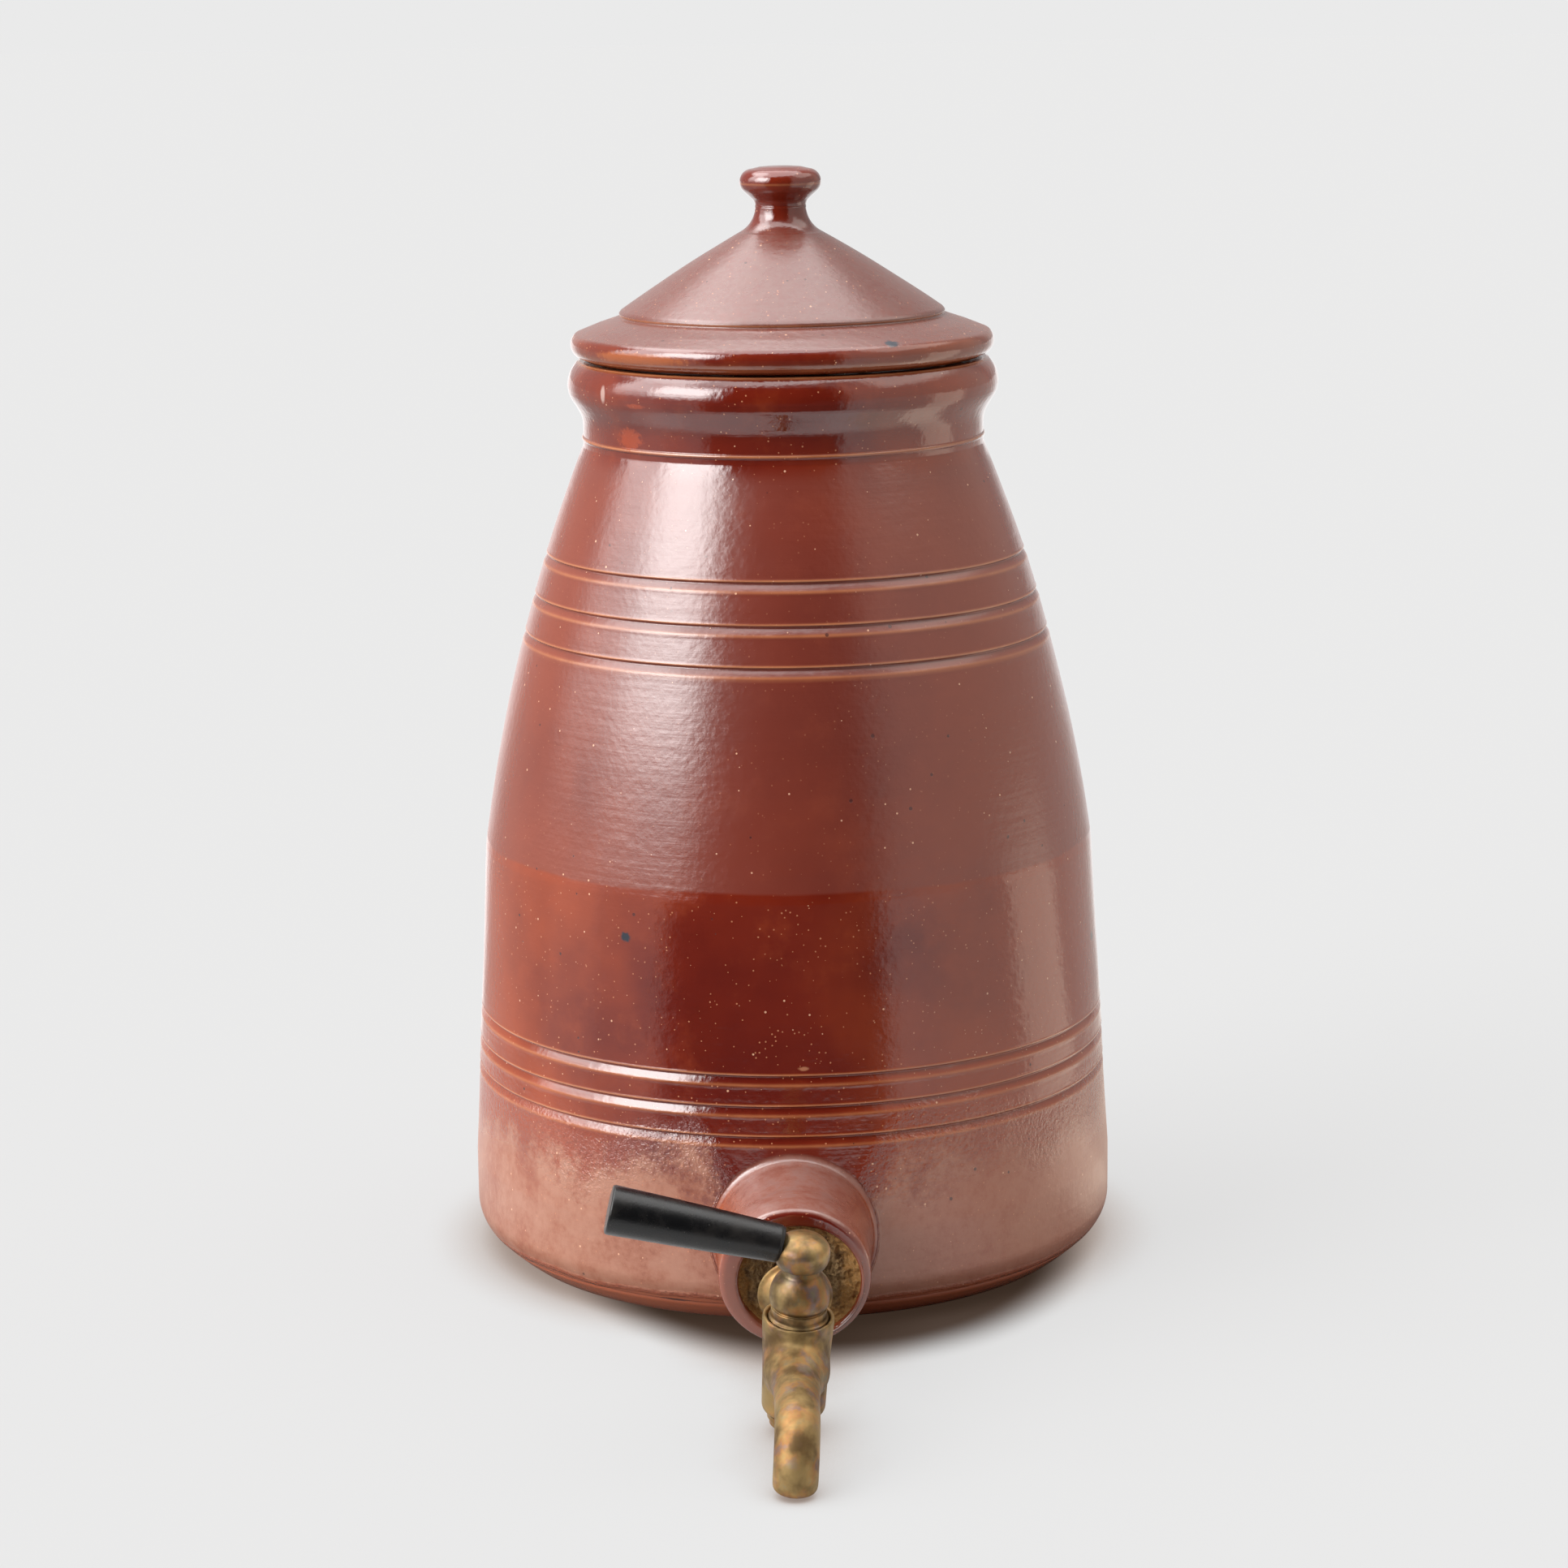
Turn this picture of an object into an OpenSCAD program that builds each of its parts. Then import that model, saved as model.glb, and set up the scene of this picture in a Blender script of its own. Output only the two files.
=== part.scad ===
// Stoneware water crock with a loose lid and a brass ground-key tap.
// Origin: centre of the base, on the table. +Z up, the tap points to -Y.

/* [Crock] */
// Radius of the foot that stands on the table
foot_r = 90; // [84:0.5:93]
// Height of the plain band above the table
foot_h = 3.2; // [2:0.2:6]
// Radius of the rolled edge between foot and belly
heel_r = 9; // [6:0.5:12]
// Largest outside radius
belly_r = 101; // [98:0.5:106]
// Height where the straight taper starts
belly_z = 30; // [26:1:45]
// Outside radius where the shoulder starts
waist_r = 95.4; // [92:0.2:97]
// Height where the shoulder starts
waist_z = 129; // [110:1:150]
// How far the shoulder bows out from a straight line
shoulder_bow = 4.1; // [2:0.1:6]
// Outside radius of the neck
neck_r = 62; // [58:0.5:66]
// Height of the lower end of the neck
neck_z = 254; // [245:1:260]
// Largest radius of the rolled rim
rim_r = 66.5; // [66.5:0.5:70]
// Height of the rim's flat top, where the lid sits
rim_z = 280; // [278:1:290]
// Thickness of the wall
wall_t = 7; // [5:0.5:8]
// Thickness of the floor
floor_t = 9; // [7:0.5:10]

/* [Throwing lines] */
// Heights of the three upper grooves
upper_grooves = [196.2, 207.9, 220.3];
// Heights of the three lower grooves
lower_grooves = [59.2, 68.0, 77.4];
// Radius of the turning tool's tip
groove_tip_r = 1.5; // [1:0.1:2]
// Depth of each groove
groove_d = 0.9; // [0.5:0.1:1.3]

/* [Tap boss] */
// Height of the middle of the bung hole
boss_z = 29; // [28:0.5:34]
// Distance from the crock's axis to the middle of the boss's face
boss_reach = 138; // [132:1:145]
// Radius of the boss at its face
boss_r = 22; // [21:0.5:24]
// Radius of the boss where it leaves the wall
boss_root_r = 23.5; // [22.5:0.5:25]
// Radius of the bung hole
bung_hole_r = 18.2; // [16:0.2:18.4]
// How far the bung hole sits to the right of the boss's middle
bung_shift = 1.4; // [-1.4:0.2:1.4]

/* [Lid] */
// Largest radius of the lid's flange
lid_r = 65.2; // [63:0.2:66]
// Radius of the step where the cone starts
cone_r = 50.2; // [46:0.2:52]
// Height of the cone from its step to the stem of the knob
cone_h = 22.5; // [18:0.5:28]
// Radius of the knob's stem
stem_r = 7.8; // [6.5:0.1:9]
// Radius of the knob
knob_r = 12.5; // [11:0.1:14]
// Thickness of the lid's wall
lid_t = 6; // [4.5:0.5:7]
// Depth of the ring that drops into the neck
spigot_h = 11; // [8:0.5:14]
// Play between that ring and the neck
spigot_play = 1.6; // [1:0.1:3]
// Play between the lid's seat and the rim
seat_play = 0.2; // [0.1:0.05:0.3]

/* [Tap] */
// Droop of the tap, top leaning to the front, in degrees
tap_tilt = 9; // [5:0.5:10]
// Lean of the tap to one side, in degrees
tap_lean = 3.5; // [0:0.5:6]
// Distance from the boss's face to the barrel's axis
barrel_reach = 45.5; // [44:0.5:50]
// Height of the barrel's rim above the shank's axis
barrel_top = 13.6; // [12:0.2:15]
// Depth of the barrel's lower end below the shank's axis
barrel_bottom = 16.4; // [14:0.2:16.6]
// Outside radius of the barrel at its rim
barrel_r = 9.9; // [9.9:0.1:11]
// Radius of the tapered key at the barrel's rim
key_r = 8.45; // [8:0.05:8.6]
// Radius of the tapered key at the barrel's lower end
key_end_r = 6.3; // [5.8:0.1:6.6]
// Running clearance between the key and the barrel
key_play = 0.05; // [0.02:0.01:0.09]
// Outside radius of the shank that passes through the bung
shank_r = 5.6; // [5.3:0.1:6.5]
// Radius of the water way through shank and key
way_r = 3.8; // [3.2:0.1:4]
// Outside radius of the spout
spout_r = 6.15; // [5.9:0.05:7]
// Radius of the bore of the spout
spout_bore_r = 4.4; // [4:0.1:4.6]
// Distance from the barrel's axis to the middle of the spout's mouth
spout_reach = 48.1; // [44:0.1:52]
// Radius of the spout's bend, at its middle line
spout_bend = 12.5; // [11:0.5:14]
// Rise of the spout before its bend, in degrees
spout_rise = 4; // [2:0.5:6]
// Clearance between the spout's mouth and the table
mouth_gap = 0.8; // [0.6:0.1:3]

/* [Key and handle] */
// Height of the ball's middle above the barrel's rim
ball_rise = 20.4; // [19:0.2:23]
// Radius of the ball on the key
ball_r = 7.4; // [7:0.1:8.2]
// Rise of the handle from the level, in degrees
handle_rise = 10; // [0:1:20]
// Distance from the ball's middle to the handle's free end
handle_reach = 54; // [40:1:70]
// Radius of the grip at the ball
grip_r = 5.3; // [5.2:0.1:6]
// Radius of the grip at its free end
grip_end_r = 6.85; // [6:0.05:8]
// Radius of the pin inside the grip
pin_r = 2; // [1.5:0.1:2.5]
// Radius of the screw in the lower end of the key
screw_r = 2; // [1.6:0.1:2.4]
// Thickness of the washer under the barrel
washer_t = 1.3; // [1:0.1:1.5]
// Thickness of the screw's head
head_t = 2.6; // [2:0.1:2.8]

/* [Hidden] */
$fn = 96;
part_fn = 48;          // sides of the small brass parts
fit = 0.05;            // clearance of parts that are driven or screwed together
swing = 0.3;           // gap between the barrel and what turns under it
eps = 0.01;

// Crock
foot_batter = 0.8;     // how much the plain band widens upwards
mouth_r = neck_r - wall_t;
neck_top = neck_z + 7; // end of the straight part of the neck
bead_r = 10;           // radius of the rolled rim's outer curve
bead_z = rim_z - 7.5;  // height of the rim's widest line
bead_low = 52;         // that curve's lower and upper ends, in degrees
bead_high = 46;
bead_cove = 0.5;       // hollow between the neck and the rim
mouth_edge_r = 1.5;    // bevel inside the mouth
rim_edge = rim_r - 3.1; // outer edge of the rim's flat top
ridge_r = 0.9;         // fine ridge where the shoulder meets the neck
inner_heel_r = 14;     // rounding inside, between floor and wall
boss_back = sqrt(pow(belly_r - wall_t, 2) - pow(boss_root_r, 2)); // hidden end, inside the wall
boss_flare = 4.5;      // fillet between boss and wall
boss_edge = 2;         // rounding of the boss's face
face_depth = 12;       // length of the boss's end that droops with the tap

// Bung
bung_play = 0.05;
bung_front = 9;        // how far the cork sits behind the boss's face
bung_taper = 0.6;
putty_set = 1;         // how far the putty sits behind the face
bung_back = belly_r - wall_t - 4;

// Lid
seat_z = rim_z + seat_play;
flange_edge_r = 4;     // rounding of the flange's edge
flange_z = seat_z + 4.8;
step_z = seat_z + 12.7;
cone_foot_z = step_z + 2.2;
ledge = 0.5;           // the small ledge at the step stands out and in by this much
cone_bow = 0.4;
cove_r = 8.9;          // curve from the cone into the stem
cove_a = 63;           // angle of that curve
stem_z = step_z + cone_h + 10.9; // the stem's narrowest place
throat_r = 3;          // curve from the stem into the knob
knob_z = stem_z + 7.3; // the knob's widest line
knob_edge_r = 3.9;
knob_dome = 0.9;
spigot_edge = 1;
dome_r = 8;            // flat middle of the hollow underside
spigot_r = mouth_r - spigot_play;
spigot_t = 5;

// Tap, in its own frame: origin at the middle of the boss's face, shank along -Y
collar_r = 10.8;
collar_s = 8.5;        // front face of the shank's collar
collar_t = 2.6;
neck_shank_r = 7.2;    // shank between collar and barrel
shank_back = boss_reach - bung_back + 5;
barrel_end_r = barrel_r - 1;
barrel_lip = 0.6;
barrel_chin = 2.4;     // rounding of the barrel's lower end
root_r = spout_r + 1.6;
root_l = 10;           // length of the spout's thicker root
mouth_edge = 0.8;
lap = 0.6;             // straight parts run this far over the bend
lap_step = 0.1;        // and stand this much proud of it
mouth_chamfer = 0.35;  // at the upper end of the barrel's bore

bend_start = (spout_reach - spout_bend * (1 + sin(spout_rise))) / cos(spout_rise);
bend_mid = [bend_start * cos(spout_rise) + spout_bend * sin(spout_rise),
            bend_start * sin(spout_rise) - spout_bend * cos(spout_rise)];
// the mouth's drop is what brings its front edge to mouth_gap above the table
mouth_drop = (boss_z - mouth_gap - (barrel_reach + spout_reach + spout_r) * sin(tap_tilt)
              - spout_r * sin(tap_lean)) / (cos(tap_tilt) * cos(tap_lean));
tail_l = mouth_drop + bend_mid.y;

// Key
key_top = barrel_top + 4.9;      // shoulder of the key above the barrel
neck_in = 0.5;                   // the key steps in above the barrel's rim
dome_h = 6;
dome_neck_r = 5.5;
ball_h = barrel_top + ball_rise;
ball_flat = 6;                   // the ball's top is turned flat here
stub_r = grip_r - 0.1;           // short seat on the ball for the grip
stub_l = 6.6;
pin_in = 2;                      // depth the pin leaves above the ball's middle
pin_l = 36;
key_bottom = barrel_bottom + swing;
washer_r = 7.2;
head_r = 6.5;
head_edge = 0.6;
square = 6.4;                    // driving square between key and washer
screw_l = 11;
slot_w = 1.2;
slot_d = 1;

// Points on a circle's arc, from angle a0 to a1
function arc(c, r, a0, a1, n = 8) =
    [for (i = [0:n]) let (a = a0 + (a1 - a0) * i / n) [c.x + r * cos(a), c.y + r * sin(a)]];

// Points on an arc from p to q that bows to the right of the way from p to q
function bow(p, q, h, n = 16) =
    let (d = norm(q - p) / 2, r = (d * d + h * h) / (2 * h),
         t = (q - p) / (2 * d), side = [t.y, -t.x],
         c = (p + q) / 2 - side * (r - h), half = asin(d / r),
         mid = atan2(side.y, side.x))
    arc(c, r, mid - half, mid + half, n);

// Outside radius of the body at height z, between the belly and the neck
function bow_r(p, q, h, z) =
    let (d = norm(q - p) / 2, r = (d * d + h * h) / (2 * h),
         t = (q - p) / (2 * d), side = [t.y, -t.x],
         c = (p + q) / 2 - side * (r - h))
    c.x + sqrt(r * r - pow(z - c.y, 2));
function body_r(z) =
    z < waist_z
    ? belly_r + (waist_r - belly_r) * (z - belly_z) / (waist_z - belly_z)
    : bow_r([waist_r, waist_z], [neck_r, neck_z], shoulder_bow, z);

module tap_frame() {
    translate([0, -boss_reach, boss_z]) rotate([tap_tilt, 0, 0]) rotate([0, tap_lean, 0])
        children();
}
module barrel_frame() { tap_frame() translate([0, -barrel_reach, 0]) children(); }
module handle_frame() {
    barrel_frame() translate([0, 0, ball_h]) rotate([0, handle_rise - 90, 0]) children();
}
// A shape turned about the shank's line, with its own +Z pointing to the front
module along_shank(s) { translate([0, -s, 0]) rotate([90, 0, 0]) children(); }

// ---- crock ----
function bead_bottom() = [rim_r - bead_r, bead_z] + bead_r * [cos(bead_low), -sin(bead_low)];

module crock_outside() {
    rotate_extrude() polygon(concat(
        [[0, 0], [foot_r, 0], [foot_r + foot_batter, foot_h]],
        arc([belly_r - heel_r, foot_h + heel_r], heel_r, -90, 0, 8),
        [[belly_r, belly_z]],
        bow([waist_r, waist_z], [neck_r, neck_z], shoulder_bow, 24),
        [[neck_r, neck_top]],
        bow_in([neck_r, neck_top], bead_bottom(), bead_cove),
        arc([rim_r - bead_r, bead_z], bead_r, -bead_low, bead_high, 12),
        [[rim_edge, rim_z], [0, rim_z]]));
}
// A shallow hollow curve between two points, ends left out
function bow_in(p, q, h, n = 5) =
    [for (i = [1:n - 1]) let (t = i / n, side = [(q - p).y, -(q - p).x] / norm(q - p))
        p + (q - p) * t - side * (-4 * h * t * (1 - t))];

module crock_inside() {
    rotate_extrude() polygon(concat(
        [[0, floor_t]],
        arc([belly_r - wall_t - inner_heel_r, floor_t + inner_heel_r], inner_heel_r, -90, 0, 8),
        [[belly_r - wall_t, belly_z]],
        bow([waist_r - wall_t, waist_z], [mouth_r, neck_z - wall_t / 2], shoulder_bow, 24),
        [[mouth_r, rim_z - mouth_edge_r], [mouth_r + mouth_edge_r, rim_z],
         [mouth_r + mouth_edge_r, rim_z + 1], [0, rim_z + 1]]));
}

module groove(z) {
    rotate_extrude() translate([body_r(z) + groove_tip_r - groove_d, z]) circle(r = groove_tip_r, $fn = 24);
}

module boss() {
    // level part, flared where it leaves the wall
    translate([0, 0, boss_z]) rotate([90, 0, 0]) rotate_extrude() polygon(concat(
        [[0, boss_back], [boss_root_r + boss_flare, boss_back]],
        [[boss_root_r + boss_flare, belly_r - 4]],
        arc([boss_root_r + boss_flare, belly_r + boss_flare - 1], boss_flare, 270, 180, 6),
        [[boss_r, boss_reach - face_depth], [0, boss_reach - face_depth]]));
    // drooping end with its rounded face
    tap_frame() along_shank(-face_depth - 4) rotate_extrude() polygon(concat(
        [[0, 0], [boss_r, 0]],
        arc([boss_r - boss_edge, face_depth + 4 - boss_edge], boss_edge, 0, 90, 5),
        [[0, face_depth + 4]]));
}

module crock() {
    color([0.50, 0.17, 0.10]) difference() {
        union() {
            crock_outside();
            rotate_extrude() translate([neck_r - ridge_r / 2, neck_z + 2.5]) circle(r = ridge_r, $fn = 24);
            boss();
        }
        crock_inside();
        for (z = concat(lower_grooves, upper_grooves)) groove(z);
        translate([bung_shift, -boss_back + 20, boss_z]) rotate([90, 0, 0])
            cylinder(r = bung_hole_r, h = boss_reach - boss_back + 40);
    }
}

// ---- lid ----
module lid() {
    cove_mid = [stem_r + cove_r, stem_z];
    cone_top = cove_mid - cove_r * [cos(cove_a), sin(cove_a)];
    edge_mid = [knob_r - knob_edge_r, knob_z];
    spigot_in = spigot_r - spigot_t;
    color([0.52, 0.20, 0.13]) rotate_extrude() polygon(concat(
        // outside, from the seat up to the knob
        [[spigot_r, seat_z], [lid_r - flange_edge_r, seat_z]],
        arc([lid_r - flange_edge_r, flange_z], flange_edge_r, -58, 52, 9),
        [[cone_r, step_z], [cone_r - 2 * ledge, step_z + ledge], [cone_r, step_z + 3 * ledge]],
        bow([cone_r - ledge, cone_foot_z], cone_top, cone_bow, 8),
        arc(cove_mid, cove_r, 180 + cove_a, 180, 8),
        arc([stem_r + throat_r, stem_z], throat_r, 180, 135, 4),
        arc(edge_mid, knob_edge_r, -45, 80, 10),
        [[knob_r / 3, knob_z + knob_edge_r + 0.9 * knob_dome], [0, knob_z + knob_edge_r + knob_dome]],
        // hollow underside
        [[0, cone_foot_z + 0.62 * cone_h], [dome_r, cone_foot_z + 0.54 * cone_h],
         [cone_r - 1.2 * lid_t, cone_foot_z - 1.1 * lid_t],
         [spigot_in, seat_z + spigot_edge], [spigot_in, seat_z - spigot_h + spigot_edge],
         [spigot_in + spigot_edge, seat_z - spigot_h],
         [spigot_r - 1.5 * spigot_edge, seat_z - spigot_h],
         [spigot_r, seat_z - spigot_h + 1.5 * spigot_edge]]));
}

// ---- bung and seal ----
module shank_hole() { tap_frame() along_shank(-shank_back - 5) cylinder(r = shank_r + fit, h = shank_back + 20, $fn = part_fn); }

module cork_bung() {
    color([0.60, 0.44, 0.26]) difference() {
        translate([bung_shift, -bung_back, boss_z]) rotate([90, 0, 0])
            cylinder(r1 = bung_hole_r - bung_taper, r2 = bung_hole_r - bung_play,
                     h = boss_reach - bung_front - bung_back);
        shank_hole();
    }
}

module sealing_putty() {
    color([0.55, 0.45, 0.27]) difference() {
        intersection() {
            translate([bung_shift, -boss_reach + bung_front, boss_z]) rotate([90, 0, 0])
                cylinder(r = bung_hole_r - bung_play, h = bung_front + 8);
            tap_frame() along_shank(-30) cylinder(r = 2 * bung_hole_r, h = 30 - putty_set);
        }
        shank_hole();
    }
}

// ---- tap ----
module spout_path(r, extra = 0) {
    // straight rise, bend, short tail; in the barrel's frame, front is -Y
    rotate([90 - spout_rise, 0, 0]) cylinder(r = r, h = bend_start + lap, $fn = part_fn);
    translate([0, -bend_mid.x, bend_mid.y]) rotate([90, 0, -90])
        rotate_extrude(angle = 90 + spout_rise) translate([spout_bend, 0])
            circle(r = r - lap_step, $fn = part_fn);
    translate([0, -spout_reach, bend_mid.y - tail_l - extra])
        cylinder(r = r, h = tail_l + extra + lap, $fn = part_fn);
}

module barrel() {
    rotate_extrude() polygon(concat(
        [[0, -barrel_bottom], [barrel_end_r - barrel_chin, -barrel_bottom]],
        arc([barrel_end_r - barrel_chin, -barrel_bottom + barrel_chin], barrel_chin, -90, 0, 5),
        arc([barrel_r - barrel_lip, barrel_top - barrel_lip], barrel_lip, 0, 90, 4),
        [[0, barrel_top]]));
}

module tap_body() {
    color([0.62, 0.46, 0.20]) difference() {
        union() {
            tap_frame() {
                along_shank(-shank_back) cylinder(r = shank_r, h = shank_back + collar_s, $fn = part_fn);
                along_shank(collar_s - collar_t) rotate_extrude($fn = part_fn) polygon(
                    [[0, 0], [collar_r - 0.5, 0], [collar_r, 0.5], [collar_r, 1.4],
                     [neck_shank_r + 1.2, collar_t + 0.6], [0, collar_t + 0.6]]);
                along_shank(collar_s) cylinder(r = neck_shank_r, h = barrel_reach - collar_s, $fn = part_fn);
            }
            barrel_frame() {
                barrel($fn = part_fn);
                rotate([90 - spout_rise, 0, 0]) translate([0, 0, barrel_r - 3])
                    cylinder(r1 = root_r, r2 = spout_r, h = root_l, $fn = part_fn);
                spout_path(spout_r);
            }
        }
        tap_frame() along_shank(-shank_back - 1)
            cylinder(r = way_r, h = shank_back + barrel_reach, $fn = part_fn);
        barrel_frame() {
            translate([0, 0, -barrel_bottom - 1])
                cylinder(r1 = key_side(-barrel_bottom - 1) + key_play, r2 = key_side(barrel_top + 1) + key_play,
                         h = barrel_bottom + barrel_top + 2, $fn = part_fn);
            translate([0, 0, barrel_top - 2 * mouth_chamfer])
                cylinder(r1 = key_r + key_play - 0.1, r2 = key_r + 2 * mouth_chamfer, h = 4 * mouth_chamfer,
                         $fn = part_fn);
            spout_path(spout_bore_r, 1);
            // worn outer edge of the mouth
            translate([0, -spout_reach, -mouth_drop]) rotate_extrude($fn = part_fn)
                polygon([[spout_r - mouth_edge - 1, -1], [spout_r + 1, -1], [spout_r + 1, mouth_edge + 1]]);
        }
    }
}

// ---- key ----
function key_side(h) = key_end_r + (key_r - key_end_r) * (h + barrel_bottom) / (barrel_top + barrel_bottom);

module tap_key() {
    color([0.66, 0.50, 0.24]) difference() {
        union() {
            barrel_frame() rotate_extrude($fn = part_fn) polygon(concat(
                [[0, -barrel_bottom + washer_t], [key_side(-barrel_bottom + washer_t), -barrel_bottom + washer_t],
                 [key_side(barrel_top - neck_in), barrel_top - neck_in],
                 [key_r - neck_in, barrel_top], [key_r - neck_in, key_top - 0.5]],
                bow([key_r - neck_in - 0.4, key_top], [dome_neck_r, key_top + dome_h], 1.2, 6),
                [[dome_neck_r - 0.6, ball_h - ball_r + 1], [dome_neck_r - 0.6, ball_h], [0, ball_h]]));
            // the square end that drives the washer
            barrel_frame() translate([-square / 2, -square / 2, -key_bottom - washer_t])
                cube([square, square, key_bottom + washer_t]);
            intersection() {
                barrel_frame() translate([0, 0, ball_h]) sphere(r = ball_r, $fn = part_fn);
                barrel_frame() translate([0, 0, ball_h - 2 * ball_r])
                    cylinder(r = 2 * ball_r, h = 2 * ball_r + ball_flat, $fn = part_fn);
            }
            handle_frame() cylinder(r = stub_r, h = stub_l, $fn = part_fn);
        }
        barrel_frame() rotate([0, 90, 0]) cylinder(r = way_r, h = 4 * key_r, center = true, $fn = part_fn);
        handle_frame() translate([0, 0, pin_in]) cylinder(r = pin_r + fit, h = stub_l, $fn = part_fn);
        // flat seat for the grip
        handle_frame() translate([0, 0, stub_l]) cylinder(r = ball_r, h = ball_r, $fn = part_fn);
        barrel_frame() translate([0, 0, -key_bottom - washer_t - eps])
            cylinder(r = screw_r + fit, h = screw_l, $fn = part_fn);
    }
}

module key_washer() {
    color([0.58, 0.42, 0.18]) barrel_frame() difference() {
        translate([0, 0, -key_bottom - washer_t]) cylinder(r = washer_r, h = washer_t, $fn = part_fn);
        translate([-square / 2 - fit, -square / 2 - fit, -key_bottom - washer_t - 1])
            cube([square + 2 * fit, square + 2 * fit, washer_t + 2]);
    }
}

module key_screw() {
    color([0.56, 0.42, 0.20]) barrel_frame() translate([0, 0, -key_bottom - washer_t]) difference() {
        union() {
            rotate_extrude($fn = part_fn) polygon([[0, 0], [head_r, 0], [head_r, -head_t + head_edge],
                [head_r - head_edge, -head_t], [0, -head_t]]);
            cylinder(r = screw_r, h = screw_l - 1, $fn = part_fn);
        }
        translate([-head_r - 1, -slot_w / 2, -head_t - eps]) cube([2 * head_r + 2, slot_w, slot_d]);
    }
}

// ---- handle ----
module handle_pin() {
    color([0.45, 0.42, 0.38]) handle_frame() translate([0, 0, pin_in + fit])
        cylinder(r = pin_r, h = pin_l, $fn = part_fn);
}

module handle_grip() {
    color([0.08, 0.08, 0.09]) handle_frame() difference() {
        rotate_extrude($fn = part_fn) polygon(concat(
            [[0, stub_l], [grip_r - 0.4, stub_l], [grip_r, stub_l + 0.4]],
            arc([grip_end_r - 0.8, handle_reach - 0.8], 0.8, 0, 90, 4),
            [[0, handle_reach]]));
        translate([0, 0, stub_l - 1]) cylinder(r = pin_r + fit, h = pin_l + pin_in + fit - stub_l + 1 + fit, $fn = part_fn);
    }
}

crock();
lid();
cork_bung();
sealing_putty();
tap_body();
tap_key();
key_washer();
key_screw();
handle_pin();
handle_grip();
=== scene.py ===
# %% [markdown]
# # A stoneware water crock with a loose lid and a brass tap
#
# The solids of the crock come from a imported model, which this script loads as
# a fixed frame. Everything here is in metres, in that same frame: the foot
# stands on z = 0, +Z is up and the tap points to -Y. The frame is loaded first.
# The finished look may not outgrow the solids.

# %% Load the frame
import math

import bpy
import numpy as np
from mathutils import Matrix, Vector, noise


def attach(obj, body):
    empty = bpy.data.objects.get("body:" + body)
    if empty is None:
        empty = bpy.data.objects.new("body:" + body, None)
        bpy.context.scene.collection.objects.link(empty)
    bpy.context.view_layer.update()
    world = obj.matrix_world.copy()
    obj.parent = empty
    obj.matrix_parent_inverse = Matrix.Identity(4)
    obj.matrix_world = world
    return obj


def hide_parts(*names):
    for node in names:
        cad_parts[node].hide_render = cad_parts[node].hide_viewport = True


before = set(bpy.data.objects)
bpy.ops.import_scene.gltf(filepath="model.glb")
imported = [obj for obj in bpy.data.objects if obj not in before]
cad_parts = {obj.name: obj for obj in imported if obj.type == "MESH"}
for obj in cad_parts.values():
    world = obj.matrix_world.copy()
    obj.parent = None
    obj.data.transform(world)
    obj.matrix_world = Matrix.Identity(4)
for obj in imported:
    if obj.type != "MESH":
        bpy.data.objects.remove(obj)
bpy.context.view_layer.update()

print("nodes:", sorted(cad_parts))

# %% [markdown]
# ## Small helpers
#
# The sizes of a pot are easier to read in millimetres, so the outlines below
# are lists of (radius, height) in millimetres, and one helper turns them about
# the Z axis, as a potter's wheel or a lathe would. Blender's Screw modifier
# could do the turning too. Writing the rings out gives control over every
# point, so that throwing lines and a slight wobble can be put in.

# %% Outlines
MM = 0.001


def arc(middle, radius, start, end, count=10):
    """Points on a circle from one angle to another, in degrees."""
    turn = np.radians(np.linspace(start, end, count))
    return np.column_stack([middle[0] + radius * np.cos(turn), middle[1] + radius * np.sin(turn)])


def bow(start, end, height, count=24):
    """A flat arc from start to end that stands out to the right of the way by height."""
    start, end = np.array(start, float), np.array(end, float)
    half = np.linalg.norm(end - start) / 2
    radius = (half * half + height * height) / (2 * height)
    along = (end - start) / (2 * half)
    side = np.array([along[1], -along[0]])
    middle = (start + end) / 2 - side * (radius - height)
    aim, spread = math.degrees(math.atan2(side[1], side[0])), math.degrees(math.asin(half / radius))
    return arc(middle, radius, aim - spread, aim + spread, count)


def even(outline, step):
    """The same outline with points no further apart than step(point)."""
    points = [np.array(outline[0], float)]
    for a, b in zip(outline[:-1], outline[1:]):
        a, b = np.array(a, float), np.array(b, float)
        count = max(1, math.ceil(np.linalg.norm(b - a) / step((a + b) / 2)))
        points += [a + (b - a) * i / count for i in range(1, count + 1)]
    return np.array(points)


# %% Meshes
def mesh_object(name, points, faces, smooth=True):
    """A mesh object from points in metres."""
    mesh = bpy.data.meshes.new(name)
    mesh.from_pydata(points.tolist() if hasattr(points, "tolist") else points, [], faces)
    mesh.validate()
    mesh.update()
    if smooth:
        mesh.shade_smooth()
    thing = bpy.data.objects.new(name, mesh)
    bpy.context.scene.collection.objects.link(thing)
    return thing


def net(rings, sides, flip=False):
    """Faces between closed rings that have sides points each."""
    faces = []
    for first in range(0, (rings - 1) * sides, sides):
        for j in range(sides):
            a, b = first + j, first + (j + 1) % sides
            faces.append((a, a + sides, b + sides, b) if flip else (a, b, b + sides, a + sides))
    return faces


def together(*pieces):
    """The points and faces of several pieces as one list of each."""
    points, faces, start = [], [], 0
    for piece_points, piece_faces in pieces:
        points.append(piece_points)
        faces += [tuple(i + start for i in face) for face in piece_faces]
        start += len(piece_points)
    return np.vstack(points), faces


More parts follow.
